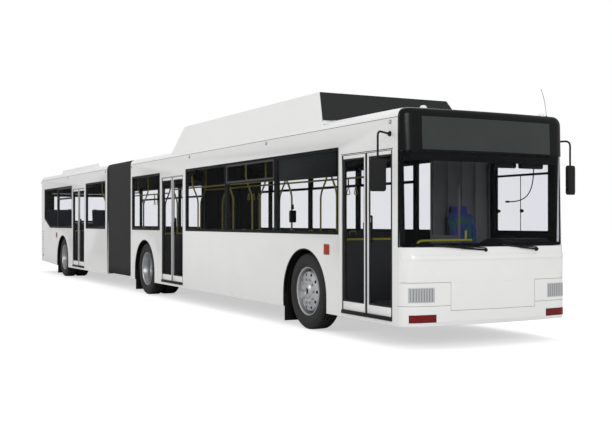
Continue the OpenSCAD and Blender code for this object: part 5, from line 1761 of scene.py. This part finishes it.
class BUS_OT_windows(Operator):
    """Glaze both sections, the rear window and the screen's surround."""

    bl_idname = "bus.windows"
    bl_label = "Windows"

    def execute(self, context):
        build_windows()
        return {"FINISHED"}


class BUS_OT_signs(Operator):
    """Fit the unlit destination signs."""

    bl_idname = "bus.signs"
    bl_label = "Signs"

    def execute(self, context):
        build_signs()
        return {"FINISHED"}


class BUS_OT_doors(Operator):
    """Build the six door leaves and the trim of the three doorways."""

    bl_idname = "bus.doors"
    bl_label = "Doors"

    def execute(self, context):
        build_doors()
        return {"FINISHED"}


class BUS_OT_wheels(Operator):
    """Build the tyres, rims, hubs and wheel nuts."""

    bl_idname = "bus.wheels"
    bl_label = "Wheels"

    def execute(self, context):
        build_wheels()
        return {"FINISHED"}


class BUS_OT_bellows(Operator):
    """Fold the bellows between its hoops."""

    bl_idname = "bus.bellows"
    bl_label = "Bellows"

    def execute(self, context):
        build_bellows()
        return {"FINISHED"}


class BUS_OT_roof(Operator):
    """Add the roof domes, aerial, hatch, gutters, cover seams and fans."""

    bl_idname = "bus.roof"
    bl_label = "Roof Parts"

    def execute(self, context):
        build_roof_parts()
        return {"FINISHED"}


class BUS_OT_sides(Operator):
    """Add marker lamps, reflectors, arch lips and tail slots."""

    bl_idname = "bus.sides"
    bl_label = "Side Parts"

    def execute(self, context):
        build_side_parts()
        return {"FINISHED"}


class BUS_OT_front(Operator):
    """Add headlamp lenses, reflectors, the belt ledge, mirrors and wipers."""

    bl_idname = "bus.front"
    bl_label = "Front Parts"

    def execute(self, context):
        build_front_parts()
        build_wipers()
        return {"FINISHED"}


class BUS_OT_tail(Operator):
    """Add the tail lamps' lenses, blank plate and flap louvres."""

    bl_idname = "bus.tail"
    bl_label = "Tail Parts"

    def execute(self, context):
        build_tail_parts()
        return {"FINISHED"}


class BUS_OT_driver(Operator):
    """Fit out the driver's place."""

    bl_idname = "bus.driver"
    bl_label = "Driver's Place"

    def execute(self, context):
        build_driver_place()
        return {"FINISHED"}


class BUS_OT_seats(Operator):
    """Build the passenger seats and their pads."""

    bl_idname = "bus.seats"
    bl_label = "Passenger Seats"

    def execute(self, context):
        build_seats()
        return {"FINISHED"}


class BUS_OT_rails(Operator):
    """Bend the handrails and hang the straps."""

    bl_idname = "bus.rails"
    bl_label = "Handrails"

    def execute(self, context):
        build_handrails()
        return {"FINISHED"}


class BUS_OT_lining(Operator):
    """Line the ceiling, fit the duct cabinet and set the draught screens."""

    bl_idname = "bus.lining"
    bl_label = "Cabin Lining"

    def execute(self, context):
        build_lining()
        return {"FINISHED"}


OPERATORS = (BUS_OT_studio, BUS_OT_body, BUS_OT_windows, BUS_OT_signs, BUS_OT_doors, BUS_OT_wheels,
             BUS_OT_bellows, BUS_OT_roof, BUS_OT_sides, BUS_OT_front, BUS_OT_tail, BUS_OT_driver,
             BUS_OT_seats, BUS_OT_rails, BUS_OT_lining)


class BUS_PT_panel(Panel):
    """Sizes, colours and pieces of the bus."""

    bl_idname = "BUS_PT_panel"
    bl_label = "City Bus"
    bl_space_type = "VIEW_3D"
    bl_region_type = "UI"
    bl_category = "City Bus"

    def draw(self, context):
        layout = self.layout
        scene = context.scene
        for group in (scene.bus_sizes, scene.bus_colours, scene.bus_studio):
            column = layout.column(align=True)
            for name in group.bl_rna.properties.keys():
                if name not in ("rna_type", "name"):
                    column.prop(group, name)
        column = layout.column(align=True)
        for operator in OPERATORS:
            column.operator(operator.bl_idname)


CLASSES = (BusSizes, BusColours, StudioSettings, *OPERATORS, BUS_PT_panel)


def register():
    for cls in CLASSES:
        bpy.utils.register_class(cls)
    bpy.types.Scene.bus_sizes = PointerProperty(type=BusSizes)
    bpy.types.Scene.bus_colours = PointerProperty(type=BusColours)
    bpy.types.Scene.bus_studio = PointerProperty(type=StudioSettings)


def unregister():
    del bpy.types.Scene.bus_studio
    del bpy.types.Scene.bus_colours
    del bpy.types.Scene.bus_sizes
    for cls in reversed(CLASSES):
        bpy.utils.unregister_class(cls)


def main():
    register()
    for operator in OPERATORS:
        group, name = operator.bl_idname.split(".")
        getattr(getattr(bpy.ops, group), name)()


if __name__ == "__main__":
    main()
